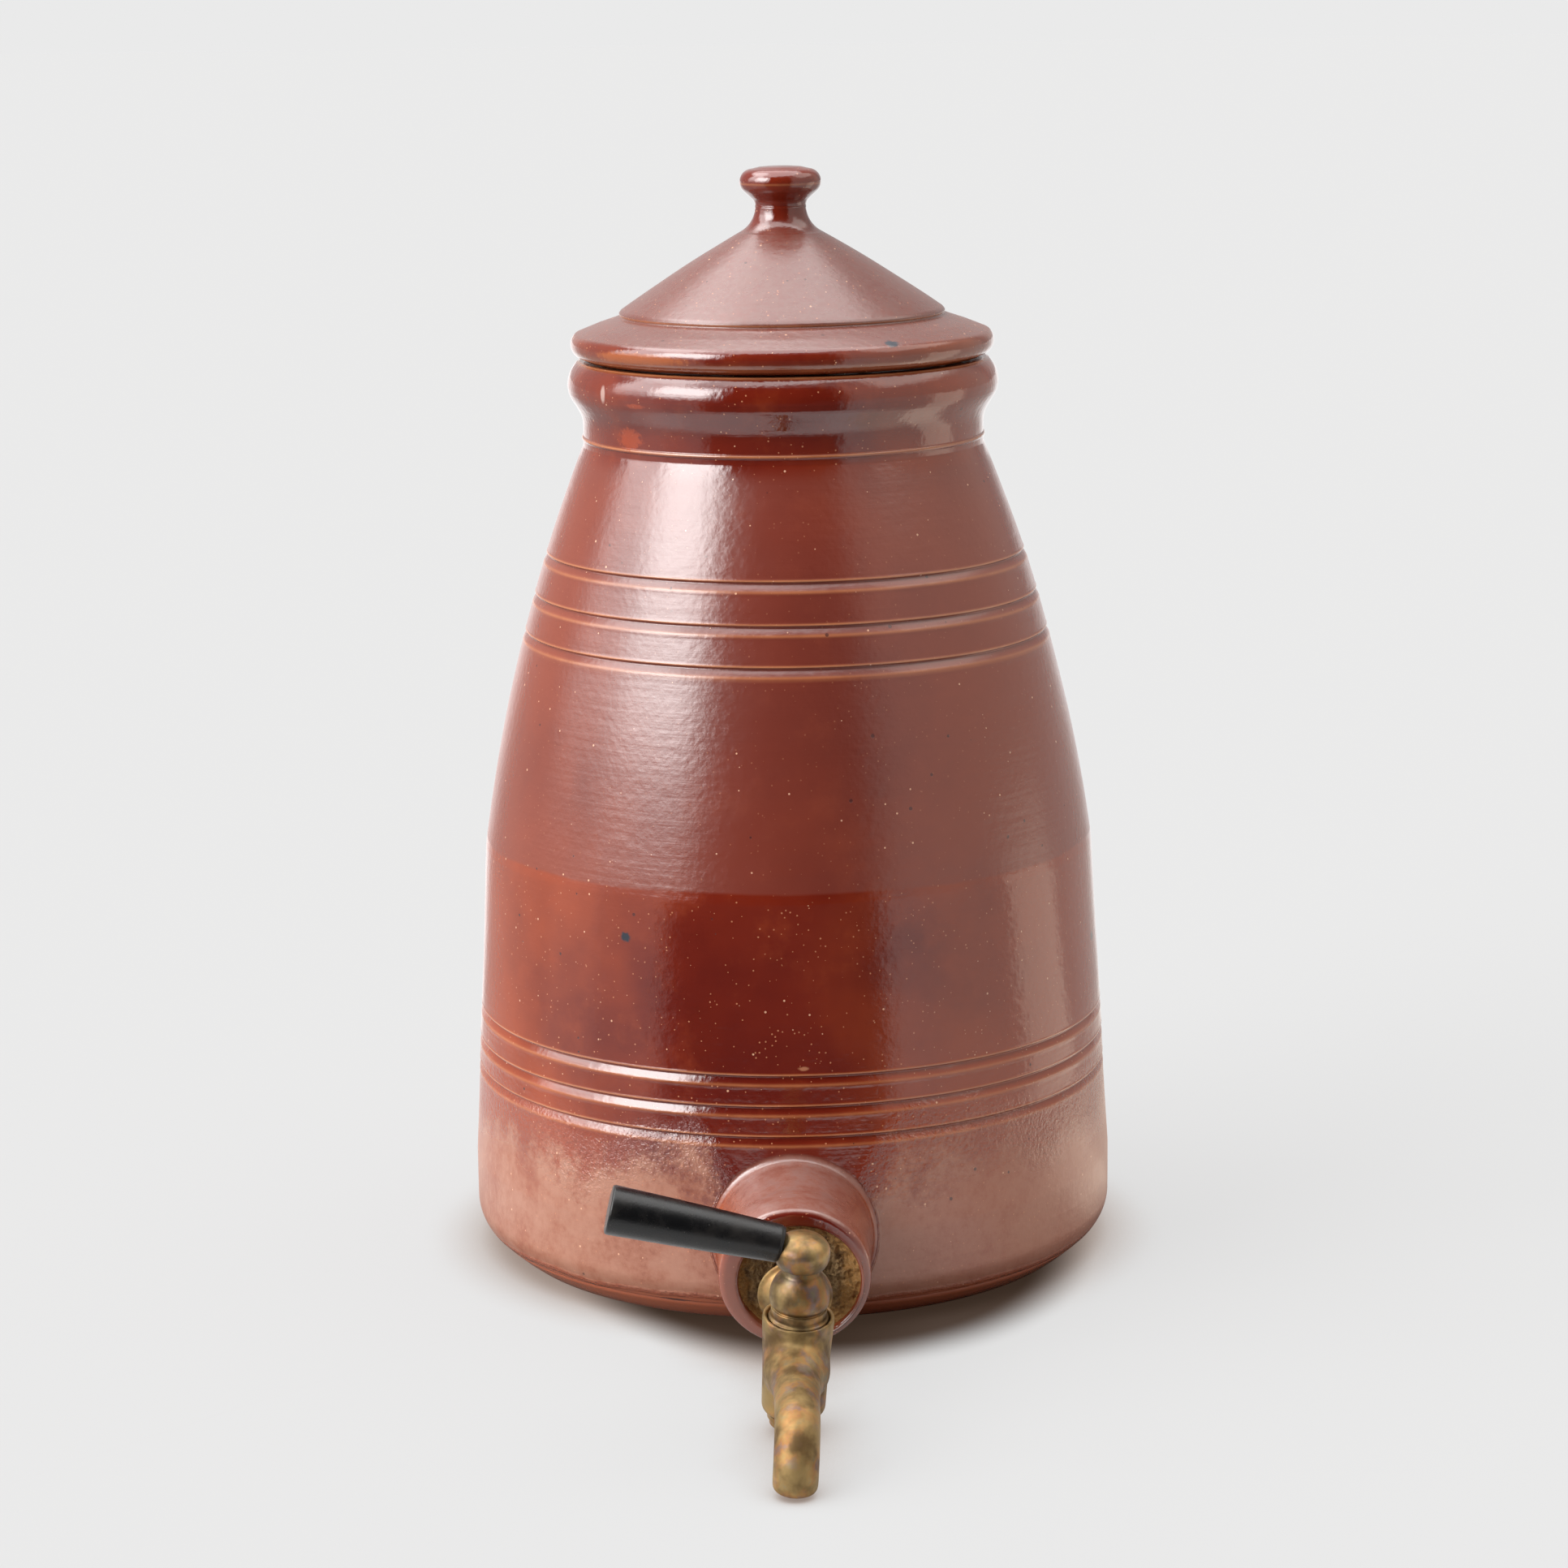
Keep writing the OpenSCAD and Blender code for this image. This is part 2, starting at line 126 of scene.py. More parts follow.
def turned(outline, turns, shift=None):
    """Points (mm) and faces of an outline turned about Z. shift(radius, height, angle) bends the surface."""
    outline = np.array(outline, float)
    angle = np.linspace(0, 2 * math.pi, turns, endpoint=False)
    points, rings = [], []
    for radius, height in outline:
        if radius < 1e-6:
            rings.append([len(points)])
            points.append((0.0, 0.0, height))
            continue
        rings.append(list(range(len(points), len(points) + turns)))
        ring_radius = radius + (shift(radius, height, angle) if shift else 0 * angle)
        points += list(zip(ring_radius * np.cos(angle), ring_radius * np.sin(angle), np.full(turns, height)))
    faces = []
    for low, high in zip(rings[:-1], rings[1:]):
        if len(low) == 1 and len(high) == 1:
            continue
        for i in range(turns):
            j = (i + 1) % turns
            if len(low) == 1:
                faces.append((low[0], high[j], high[i]))
            elif len(high) == 1:
                faces.append((low[i], low[j], high[0]))
            else:
                faces.append((low[i], low[j], high[j], high[i]))
    return np.array(points), faces


TUBE_SIDES = 64


def swept(path, radii):
    """Points (mm) and faces of a round tube along a path in the y-z plane, closed at its start and end."""
    sides = TUBE_SIDES
    path, radii = np.array(path, float), np.array(radii, float)
    along = np.gradient(path, axis=0)
    along /= np.linalg.norm(along, axis=1)[:, None]
    turn = np.linspace(0, 2 * math.pi, sides, endpoint=False)
    side = np.array([1.0, 0, 0])
    points, faces = [], net(len(path), sides)
    for middle, way, radius in zip(path, along, radii):
        up = np.cross(side, way)
        points += [middle + radius * (math.cos(t) * side + math.sin(t) * up) for t in turn]
    first, last = len(points), len(points) + 1
    points += [path[0], path[-1]]
    end = (len(path) - 1) * sides
    for j in range(sides):
        k = (j + 1) % sides
        faces += [(first, k, j), (last, end + j, end + k)]
    return np.array(points), faces


def placed(points, place):
    """Points in millimetres, moved by a 4x4 matrix in millimetres, in metres."""
    points = np.asarray(points, float)
    full = np.column_stack([points, np.ones(len(points))])
    return (full @ np.array(place).T)[:, :3] * MM


def lathe(name, outline, step, turns, place):
    """A mesh object turned from an outline with even steps, then placed, all in mm."""
    points, faces = turned(even(outline, lambda point: step), turns)
    return mesh_object(name, placed(points, place), faces)


def give(thing, body, slot, *nodes):
    """The piece rides on a body and stands for CAD nodes, which are hidden; slot is not used."""
    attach(thing, body)
    if nodes:
        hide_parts(*nodes)
    print(thing.name, "rides on", body, "with", len(thing.data.polygons), "faces")


# %% [markdown]
# ## The crock
#
# A thrown pot is a solid of revolution, but never a perfect one: the wall
# carries faint rings from the potter's fingers, and three lines were turned
# into it high up and three low down. The outline follows the solid. The lines
# are cut into it as shallow steps with a low lip on both sides, and a smooth,
# seeded wobble bends every ring a little. The lines could be a bump map, but
# their edges show on the outline and catch the light, so they are real.

# %% The crock's sizes
FOOT_R, NOTCH_Z, HEEL_R, BELLY_R, BELLY_Z = 90.0, 7.2, 12.0, 101.0, 30.0
FOOT_RING = [[-1.0, 0.0], [0.0, 0.4], [3.0, 2.6], [6.3, 5.4], [7.0, 6.4], [6.7, 7.0]]   # outwards from FOOT_R
RECESS_R, RECESS_H = 60.0, 1.2
WAIST_R, WAIST_Z, SHOULDER_BOW = 95.4, 129.0, 4.1
NECK_R, NECK_Z, COLLAR_TOP_R, COVE_R, COVE_OUT = 62.0, 254.0, 0.75, 61.9, 4.48
COVE_FROM, COVE_TO, COVE_LOW, COVE_HIGH, COVE_LEAN = 260.25, 271.5, 258.2, 271.4, 1.2
RIM_R, RIM_Z, BEAD_R, BEAD_Z = 66.5, 280.0, 10.0, 272.5
WALL, FLOOR, INNER_HEEL_R, LIP_R = 7.0, 9.0, 14.0, 1.6
MOUTH_R, SHOULDER_END_Z = NECK_R - WALL, NECK_Z - WALL / 2
LINES = (59.2, 68.0, 77.4, 196.2, 207.9, 220.3)
LINE_DEPTH, LINE_SWAY = 0.84, 0.25
STEP_ABOVE, SLOPE_BELOW = 0.75, 2.1
LOWER_LIP, UPPER_LIP = (0.06, 2.6, 0.6), (0.10, -1.05, 0.3)     # height, distance below the line, width
RIPPLE, OVAL, INSET = 0.035, 0.12, 0.24

rng = np.random.default_rng(7)
RIPPLES = [(rng.uniform(5, 22), rng.uniform(0, 7), rng.integers(0, 3), rng.uniform(0, 7)) for _ in range(9)]


def line_cut(height, middle):
    """Depth of one turned line: a steep step above, an easy slope below, with a low lip on both sides."""
    d = height - middle
    step, slope = np.clip(1 - (d / STEP_ABOVE) ** 2, 0, 1), np.clip(1 + d / SLOPE_BELOW, 0, 1) ** 1.25
    cut = np.where(d > 0, step, slope)
    lips = sum(tall * np.exp(-(((d + below) / wide) ** 2)) for tall, below, wide in (LOWER_LIP, UPPER_LIP))
    return LINE_DEPTH * cut - lips


def sway(angle, middle):
    """How far a turned line runs out of level, in mm."""
    return LINE_SWAY * np.sin(angle + middle)


def thrown(radius, height, angle):
    """How far the wall stands off the true circle, in mm."""
    wave = sum(np.sin(height / length + phase + n * angle + late) for length, phase, n, late in RIPPLES)
    off = RIPPLE * wave + OVAL * np.cos(2 * angle + 0.6) - INSET
    for middle in LINES:
        off = off - line_cut(height + sway(angle, middle), middle)
    return off * min(1.0, height / 6.0)


# %% The crock's outline
def neck_cove():
    """The hollow above the collar: upright at first, then swinging out under the bead."""
    height = np.linspace(COVE_LOW, COVE_HIGH, 14)
    t = np.clip((height - COVE_FROM) / (COVE_TO - COVE_FROM), 0, 1) ** COVE_LEAN
    return np.column_stack([COVE_R + COVE_OUT * t * t * (3 - 2 * t), height])


outside = np.vstack([
    [[0, RECESS_H], [RECESS_R, RECESS_H], [RECESS_R + 6, 0.0]],
    np.add(FOOT_RING, [FOOT_R, 0.0]),
    arc((BELLY_R - HEEL_R, NOTCH_Z + 0.64 * HEEL_R), HEEL_R, -40, 0, 20),
    [[BELLY_R, BELLY_Z]],
    bow((WAIST_R, WAIST_Z), (NECK_R, NECK_Z), SHOULDER_BOW, 60),
    arc((NECK_R - 0.35, NECK_Z + 2.4), COLLAR_TOP_R, -70, 70, 9),
    neck_cove(),
    arc((RIM_R - BEAD_R, BEAD_Z), BEAD_R, -3, 44, 20),
    arc((RIM_R - 4.1, RIM_Z - 1.0), 1.0, 40, 90, 5),
])
inside = np.vstack([
    arc((MOUTH_R + LIP_R, RIM_Z - LIP_R), LIP_R, 90, 180, 6),
    [[MOUTH_R, SHOULDER_END_Z]],
    bow((WAIST_R - WALL, WAIST_Z), (MOUTH_R, SHOULDER_END_Z), SHOULDER_BOW, 20)[::-1],
    [[BELLY_R - WALL, BELLY_Z]],
    arc((BELLY_R - WALL - INNER_HEEL_R, FLOOR + INNER_HEEL_R), INNER_HEEL_R, 0, -90, 10),
    [[0, FLOOR]],
])


def crock_step(point):
    """Fine steps at the lines and the rim, coarser ones on the plain wall, in mm."""
    near = min(abs(point[1] - middle) for middle in (*LINES, NECK_Z + 2.4))
    if near < 3.4 or point[1] > 278.5:
        return 0.22
    return 0.5 if point[1] > 252 else 1.4


crock_outline = np.vstack([even(outside, crock_step), even(inside, lambda p: 5.0)])
CROCK_TURNS = 384
print("crock outline:", len(crock_outline), "points")

# %% [markdown]
# ## The boss for the tap
#
# Low on the front sits a short thick spout of clay, the boss, luted on by
# hand and bored for the bung. It is level where it leaves the wall and droops
# a little with the tap at its face. Rings of points run from the hole, over
# the rounded face, back along the boss and out over the wall in a fillet, so
# it grows out of the pot. A boolean would leave a hard seam there.

# %% The tap's place
BOSS_Z, BOSS_REACH, BOSS_R, BOSS_ROOT_R, BOSS_LOW = 29.0, 138.0, 22.0, 23.5, 3.3
FACE_DEPTH, FACE_EDGE_R, FILLET, FILLET_LESS = 12.0, 2.2, 1.9, 0.6
HOLE_R, HOLE_SHIFT, HOLE_DROP, HOLE_LIP, HOLE_EDGE_R = 18.2, 1.4, 0.9, 0.6, 1.2
TILT, LEAN, BARREL_REACH = math.radians(9), math.radians(3.5), 45.5

tap_place = (Matrix.Translation((0, -BOSS_REACH, BOSS_Z)) @ Matrix.Rotation(TILT, 4, "X")
             @ Matrix.Rotation(LEAN, 4, "Y"))
barrel_place = tap_place @ Matrix.Translation((0, -BARREL_REACH, 0))
print("barrel's axis:", [round(v, 4) for v in barrel_place.to_3x3() @ Vector((0, 0, 1))])


def wall_radius(height):
    """Radius of the crock's wall at a height, in mm."""
    wall = outside[(outside[:, 1] > 0.7) & (outside[:, 0] > 61)]
    return float(np.interp(height, wall[:, 1], wall[:, 0]))


# %% The boss
def boss_mesh():
    """Rings from inside the hole over the face and the boss's side to the wall, and their faces."""
    sides = 160
    turn = np.linspace(0, 2 * math.pi, sides, endpoint=False)
    c, s = np.cos(turn), np.sin(turn)
    rings = []

    def drooping(radius, depth, shift=0.0, drop=0.0):
        local = np.column_stack([radius * c + shift, np.full(sides, depth), radius * s - drop])
        rings.append(placed(local, tap_place) / MM)

    for depth in (14.0, 9.0, 5.0, 2.6):                     # the hole's wall
        drooping(HOLE_R - HOLE_LIP, depth, HOLE_SHIFT, HOLE_DROP)
    for a in np.radians(np.linspace(180, 90, 6)):           # into the face
        drooping(HOLE_R + HOLE_LIP + HOLE_EDGE_R * math.cos(a), HOLE_EDGE_R * (1 - math.sin(a)),
                 HOLE_SHIFT, HOLE_DROP)
    for a in np.radians(np.linspace(90, 0, 9)):             # over its outer edge
        drooping(BOSS_R - FACE_EDGE_R * (1 - math.cos(a)), FACE_EDGE_R * (1 - math.sin(a)))
    for depth in (5.0, 8.0):
        drooping(BOSS_R, depth)
    # the level part, out to the wall
    wall_x, wall_z = BOSS_ROOT_R * c, np.maximum(BOSS_Z + BOSS_ROOT_R * s, BOSS_LOW)
    root_y = np.array([-math.sqrt(wall_radius(z) ** 2 - x * x) for x, z in zip(wall_x, wall_z)])
    flare = FILLET + FILLET_LESS * np.minimum(s, 0)
    front = -BOSS_REACH + FACE_DEPTH
    for t in np.linspace(0, 1, 9)[1:]:
        radius = BOSS_R + (BOSS_ROOT_R - BOSS_R) * t ** 1.5
        y = front + (root_y - flare - front) * t
        rings.append(np.column_stack([radius * c, y, np.maximum(BOSS_Z + radius * s, BOSS_LOW)]))
    for t in np.radians(np.linspace(0, 90, 10)[1:]):
        out = flare * (1 - math.cos(t))
        x, z = (BOSS_ROOT_R + out) * c, np.maximum(BOSS_Z + (BOSS_ROOT_R + out) * s, BOSS_LOW - 0.1)
        wall = np.array([-math.sqrt(max(wall_radius(b) ** 2 - a * a, 1)) for a, b in zip(x, z)])
        rings.append(np.column_stack([x, wall - flare * (1 - math.sin(t)) - 0.02, z]))
    return np.vstack(rings), net(len(rings), sides, flip=True)


points, faces = together(turned(crock_outline, CROCK_TURNS, thrown), boss_mesh())
crock = mesh_object("crock_glazed", points * MM, faces)
give(crock, "pot", "glaze", "crock")

# %% [markdown]
# ## The lid
#
# The lid is thrown upside down and turned: a flange with a rolled edge, a
# small step, a shallow cone and a stem that opens into the knob. Underneath
# it is hollow, with a ring that drops into the neck and keeps it in place.

# %% The lid
SEAT_Z, LID_R, CONE_R, STEP_Z, CONE_Z = 280.2, 65.2, 50.2, 292.9, 295.1
STEM_R, STEM_Z, STEM_COVE_R = 7.8, 326.3, 8.9
KNOB_R, KNOB_Z, KNOB_EDGE = 12.5, 333.6, 3.9
FLANGE_SLOPE = [[57.5, 290.6], [53.0, 292.1]]
SPIGOT_R, SPIGOT_T, SPIGOT_H = 53.4, 5.0, 11.0

cove_end = arc((STEM_R + STEM_COVE_R, STEM_Z), STEM_COVE_R, 243, 243, 1)[0]
lid_outline = np.vstack([
    [[SPIGOT_R, SEAT_Z], [LID_R - 4, SEAT_Z + 0.4]],
    arc((LID_R - 4, 285.0), 4.0, -72, 52, 20),
    FLANGE_SLOPE,
    [[CONE_R + 0.9, STEP_Z - 0.1], [CONE_R + 0.1, STEP_Z + 0.1]],
    arc((CONE_R - 0.8, STEP_Z + 1.2), 0.7, -60, 55, 6),
    bow((CONE_R - 0.7, CONE_Z), cove_end, 0.5, 24),
    arc((STEM_R + STEM_COVE_R, STEM_Z), STEM_COVE_R, 243, 180, 16),
    arc((STEM_R + 3, STEM_Z), 3, 180, 135, 8),
    arc((KNOB_R - KNOB_EDGE, KNOB_Z), KNOB_EDGE, -45, 84, 18),
    [[6.5, KNOB_Z + 4.45], [4, KNOB_Z + 4.65], [0, KNOB_Z + 4.75]],
])
lid_under = np.array([
    [0, 309.0], [8, 307.3], [43, 288.5], [SPIGOT_R - SPIGOT_T, SEAT_Z + 1],
    [SPIGOT_R - SPIGOT_T, SEAT_Z - SPIGOT_H + 1.2], [SPIGOT_R - SPIGOT_T + 1.2, SEAT_Z - SPIGOT_H],
    [SPIGOT_R - 1.5, SEAT_Z - SPIGOT_H], [SPIGOT_R, SEAT_Z - SPIGOT_H + 1.5], [SPIGOT_R, SEAT_Z]])


def lid_wobble(radius, height, angle):
    """How far a ring of the lid stands off the true circle, in mm."""
    wave = sum(np.sin(radius / (0.35 * length) + phase + n * angle) for length, phase, n, _ in RIPPLES)
    return 0.02 * wave * min(1.0, radius / 20)


lid_outline = np.vstack([even(lid_outline, lambda p: 0.7), even(lid_under, lambda p: 3.0)])
points, faces = turned(lid_outline, 320, lid_wobble)
lid = mesh_object("lid_glazed", points * MM, faces)
give(lid, "lid", "lid_glaze", "lid")

# %% [markdown]
# ## The putty in the boss
#
# In front of the cork the hole is filled by hand with a putty that has dried
# and crumbled. A disc of fine rings is pushed up and down by seeded noise:
# high and rough against the wall of the hole, sunken near the shank.

# %% The putty
SHANK_R = 5.6
PUTTY_DEPTH, PUTTY_SAG, PUTTY_DEEPEST = 4.0, 1.4, 9.0
ROUGH, CRUMBS, LUMPS = 0.9, 0.6, 1.3


def putty_mesh():
    """A disc from the shank to the hole's wall, each point set back from the face by seeded noise."""
    sides, rings = 220, 64
    points = []
    for i in range(rings):
        t = i / (rings - 1)
        for j in range(sides):
            turn = 2 * math.pi * j / sides
            radius = SHANK_R - 0.3 + (HOLE_R - SHANK_R - 0.1) * t
            x, z = radius * math.cos(turn) + HOLE_SHIFT * t, radius * math.sin(turn) - HOLE_DROP * t
            rough = noise.fractal(Vector((x, 3.1, z)) * 0.4, 1.0, 2.0, 5)
            crumbs = noise.noise(Vector((x, 9.7, z)) * 1.3)
            lump = noise.noise(Vector((0.8 * turn, 0.28 * radius, 4.4)) * 1.7)
            side = abs(math.cos(turn + 0.45))
            bank = (0.8 + 1.6 * side) * t ** 4 - 0.6 * (1 - t)
            depth = PUTTY_DEPTH + PUTTY_SAG * max(0.0, math.sin(turn)) - bank
            depth -= ROUGH * rough + CRUMBS * crumbs + LUMPS * lump
            points.append((x, min(depth, PUTTY_DEEPEST), z))
    return placed(points, tap_place), net(rings, sides, flip=True)


putty = mesh_object("putty_filling", *putty_mesh())
give(putty, "pot", "putty", "sealing_putty")

# %% [markdown]
# ## The tap's body
#
# The tap is one brass casting: shank, collar, barrel and spout flow into each
# other with soft fillets. Turned and swept pieces are laid into each other and
# a voxel Remesh fuses them into one skin, which a Smooth modifier then eases,
# as a worn casting is. Fillets between meshes would be far more work by hand.

# %% The tap's sizes
BARREL_TOP, BARREL_BOTTOM, BARREL_R, KEY_R, KEY_END_R = 13.6, 16.4, 9.9, 8.45, 6.3
COLLAR_R, COLLAR_BACK, NECK_SHANK_R = 10.8, -37.2, 7.2
SPOUT_R, SPOUT_BORE, SPOUT_REACH, BEND, RISE = 6.15, 4.4, 47.9, 12.5, math.radians(4)
MOUTH_DROP, ROOT_WIDER, ROOT_FROM, ROOT_LENGTH = 12.396, 3.3, 8.0, 8.0

bend_start = (SPOUT_REACH - BEND * (1 + math.sin(RISE))) / math.cos(RISE)
bend_middle = np.array([-(bend_start * math.cos(RISE) + BEND * math.sin(RISE)),
                        bend_start * math.sin(RISE) - BEND * math.cos(RISE)])


def spout_path(start):
    """Middle line of the spout in the barrel's frame, from start mm in front of the barrel's axis."""
    straight = [(0, -s * math.cos(RISE), s * math.sin(RISE)) for s in np.linspace(start, bend_start, 24)]
    around = [(0, bend_middle[0] - BEND * math.sin(a), bend_middle[1] + BEND * math.cos(a))
              for a in np.linspace(-RISE, math.pi / 2, 30)[1:]]
    tail = [(0, -SPOUT_REACH, z) for z in np.linspace(bend_middle[1], -MOUTH_DROP, 8)[1:]]
    return np.array(straight + around + tail)


# %% The tap's casting
def spout_radius(reach):
    """Outer radius of the spout, reach mm in front of the barrel's axis: wide at its root."""
    return SPOUT_R + ROOT_WIDER * np.exp(-(np.maximum(reach - ROOT_FROM, 0) / ROOT_LENGTH) ** 1.6)


def key_side(height):
    """Radius of the tapered key at a height above the barrel's middle."""
    return KEY_END_R + (KEY_R - KEY_END_R) * (height + BARREL_BOTTOM) / (BARREL_TOP + BARREL_BOTTOM)


def casting():
    """The pieces of the casting, each closed, in the barrel's frame, in mm."""
    bore_end = [key_side(-BARREL_BOTTOM) + 0.05, -BARREL_BOTTOM]
    barrel = np.vstack([
        [bore_end],
        arc((BARREL_R - 3.4, -BARREL_BOTTOM + 2.4), 2.4, -90, -5, 8),
        [[BARREL_R - 0.9, -BARREL_BOTTOM + 6], [BARREL_R - 0.5, 0], [BARREL_R, BARREL_TOP - 3]],
        arc((BARREL_R - 0.5, BARREL_TOP - 0.5), 0.5, 0, 90, 4),
        [[KEY_R + 0.45, BARREL_TOP], [KEY_R + 0.2, BARREL_TOP - 1.2], bore_end],
    ])
    parts = [turned(even(barrel, lambda p: 1.0), 128)]
    # spout, hollow from the mouth to the barrel's wall
    outer = spout_path(3.0)
    radii = spout_radius(-outer[:, 1])
    mouth = np.linalg.norm(outer - outer[-1], axis=1)
    radii = radii - 0.5 * np.exp(-(mouth / 0.5))
    bore = spout_path(12.0)
    skin, skin_faces = swept(outer, radii)
    hole, hole_faces = swept(bore, np.full(len(bore), SPOUT_BORE))
    # open both ends' caps at the mouth and join them with a ring
    shell = [face for face in skin_faces if len(skin) - 1 not in face]
    shell += [tuple(i + len(skin) for i in reversed(face))
              for face in hole_faces if len(hole) - 1 not in face]
    a, b = (len(outer) - 1) * TUBE_SIDES, len(skin) + (len(bore) - 1) * TUBE_SIDES
    for j in range(TUBE_SIDES):
        k = (j + 1) % TUBE_SIDES
        shell.append((a + j, a + k, b + k, b + j))
    parts.append((np.vstack([skin, hole]), shell))
    # neck of the shank and its collar, turned about Y
    lying = Matrix.Rotation(math.radians(90), 4, "X")
    waist = [[1.4, -34.4], [0.2, -33.0], [-0.5, -24.0], [-0.2, -14.0], [1.2, -9.6], [1.6, -8.2]]
    neck = np.vstack([
        [[0, COLLAR_BACK], [COLLAR_R - 0.5, COLLAR_BACK]],
        arc((COLLAR_R - 0.6, COLLAR_BACK + 0.8), 0.6, -60, 60, 5),
        [[COLLAR_R - 1.4, COLLAR_BACK + 1.8]],
        np.add(waist, [NECK_SHANK_R, 0.0]),
        [[0, -8.2]],
    ])
    points, faces = turned(even(neck, lambda q: 1.2), 96)
    parts.append((placed(points, lying) / MM, faces))
    return parts


VOXEL, EASE = 0.3, 4


def fused(name, parts, place):
    """One skin round closed parts: voxel remesh, then smoothing, kept as a plain mesh."""
    points, faces = together(*parts)
    rough = mesh_object(name + "_parts", placed(points, place), faces)
    remesh = rough.modifiers.new("skin", "REMESH")
    remesh.mode, remesh.voxel_size, remesh.use_smooth_shade = "VOXEL", VOXEL * MM, True
    easing = rough.modifiers.new("ease", "SMOOTH")
    easing.factor, easing.iterations = 0.5, EASE
    done = bpy.data.meshes.new_from_object(rough.evaluated_get(bpy.context.evaluated_depsgraph_get()))
    bpy.data.objects.remove(rough)
    done.name = name
    thing = bpy.data.objects.new(name, done)
    bpy.context.scene.collection.objects.link(thing)
    return thing


ROOT_REACH, ROOT_ROUNDS = 3.6, 260


def soften(thing, place):
    """Rounds the roots of the spout and of the shank, where they meet the barrel."""
    mesh = thing.data
    points = np.empty(len(mesh.vertices) * 3)
    mesh.vertices.foreach_get("co", points)
    x, y, z = placed(points.reshape(-1, 3) / MM, np.array(place.inverted())).T / MM
    off_barrel = np.hypot(x, y) - BARREL_R + 0.3
    off_spout = np.hypot(x, z + y * math.tan(RISE)) - spout_radius(-y)
    off_tube = np.where(y < 0, off_spout, np.hypot(x, z) - NECK_SHANK_R)
    weight = np.exp(-(off_barrel ** 2 + off_tube ** 2) / ROOT_REACH ** 2)
    root = thing.vertex_groups.new(name="root")
    for level in range(1, 11):
        root.add(np.nonzero(np.round(weight * 10) == level)[0].tolist(), level / 10, "REPLACE")
    easing = thing.modifiers.new("root", "SMOOTH")
    easing.factor, easing.iterations, easing.vertex_group = 0.5, ROOT_ROUNDS, "root"
    done = bpy.data.meshes.new_from_object(thing.evaluated_get(bpy.context.evaluated_depsgraph_get()))
    thing.modifiers.clear()
    thing.data = done


tap = fused("tap_casting", casting(), barrel_place)
soften(tap, barrel_place)

# %% [markdown]
# The shank runs on through putty and cork into the crock. Only its end shows,
# with the lid off, so a plain turned tube does, joined to the casting.

# %% The shank
SHANK_END, SHANK_INSIDE, SHANK_BORE = -52.3, 8.0, 3.8

shank_outline = [[SHANK_BORE, SHANK_INSIDE], [SHANK_R, SHANK_INSIDE], [SHANK_R, SHANK_END + 2.3],
                 [SHANK_R - 0.5, SHANK_END], [SHANK_BORE, SHANK_END], [SHANK_BORE, SHANK_INSIDE]]
shank = lathe("shank", shank_outline, 3.0, 64, tap_place @ Matrix.Rotation(math.radians(90), 4, "X"))
with bpy.context.temp_override(active_object=tap, selected_editable_objects=[tap, shank]):
    bpy.ops.object.join()
give(tap, "pot", "cast_brass", "tap_body")

# %% [markdown]
# ## The key, its ball and the grip
#
# The key is turned from bar: a ground cone that hides in the barrel, a
# shoulder, a dome and a ball with a flat on top. The grip of hard black rubber
# is turned too and sits on a flat of the ball.

# %% The key
BALL_RISE, BALL_R, BALL_CAP = 20.4, 7.75, 5.2
KEY_BOTTOM, DOME_RISE, DOME_R = -15.1, 4.9, 5.2
ball_z, key_top = BARREL_TOP + BALL_RISE, BARREL_TOP + DOME_RISE

key_outline = np.vstack([
    [[0, KEY_BOTTOM], [key_side(KEY_BOTTOM) - 0.6, KEY_BOTTOM], [KEY_R - 0.05, BARREL_TOP - 0.6]],
    [[KEY_R - 0.75, BARREL_TOP], [KEY_R - 0.7, BARREL_TOP + 2.2]],
    arc((KEY_R - 0.95, BARREL_TOP + 2.75), 0.3, -60, -190, 5),
    [[KEY_R - 0.75, BARREL_TOP + 3.3]],
    bow((KEY_R - 0.4, key_top - 1.0), (DOME_R, key_top + 8.0), 1.35, 18),
    [[DOME_R - 0.3, key_top + 8.9], [DOME_R - 0.6, ball_z - 5.2]],
    arc((BALL_R - 1.75, ball_z - 4.3), 0.9, -95, -30, 6),
    bow((BALL_R - 0.9, ball_z - 4.6), (BALL_R, ball_z - 1.6), 0.15, 6),
    arc((0, 0), 1.0, -4, 90, 30) * [BALL_R, BALL_CAP] + [0, ball_z - 0.8],
])
key = lathe("key_and_ball", key_outline, 0.5, 160, barrel_place)
give(key, "key", "turned_brass", "tap_key")

# %% The grip
GRIP_R, GRIP_END_R, GRIP_START, HANDLE_REACH, HANDLE_RISE = 5.3, 6.85, 5.6, 54.0, math.radians(10)

handle_place = (barrel_place @ Matrix.Translation((0, 0, ball_z))
                @ Matrix.Rotation(HANDLE_RISE - math.pi / 2, 4, "Y"))
grip_outline = np.vstack([
    [[0, GRIP_START], [GRIP_R - 0.5, GRIP_START]],
    arc((GRIP_R - 0.4, GRIP_START + 1.2), 0.4, -60, 0, 4),
    bow((GRIP_R, 8.0), (GRIP_END_R, HANDLE_REACH - 1.2), 0.12, 20),
    arc((GRIP_END_R - 0.7, HANDLE_REACH - 0.7), 0.7, 5, 90, 7),
    [[GRIP_END_R - 1.6, HANDLE_REACH - 0.02], [0, HANDLE_REACH - 0.05]],
])
grip = lathe("grip_turned", grip_outline, 0.8, 128, handle_place)
give(grip, "key", "ebonite", "handle_grip")

# %% [markdown]
# ## Building materials
#
# Every finish is made of nodes. Helpers keep that short: one adds a node with
# its settings and inputs, and one makes a node group with named sockets, for
# effects that several finishes share. A socket knows its tree, so the signs
# between sockets are given a meaning too: a * b + 1.0 makes two Math nodes.

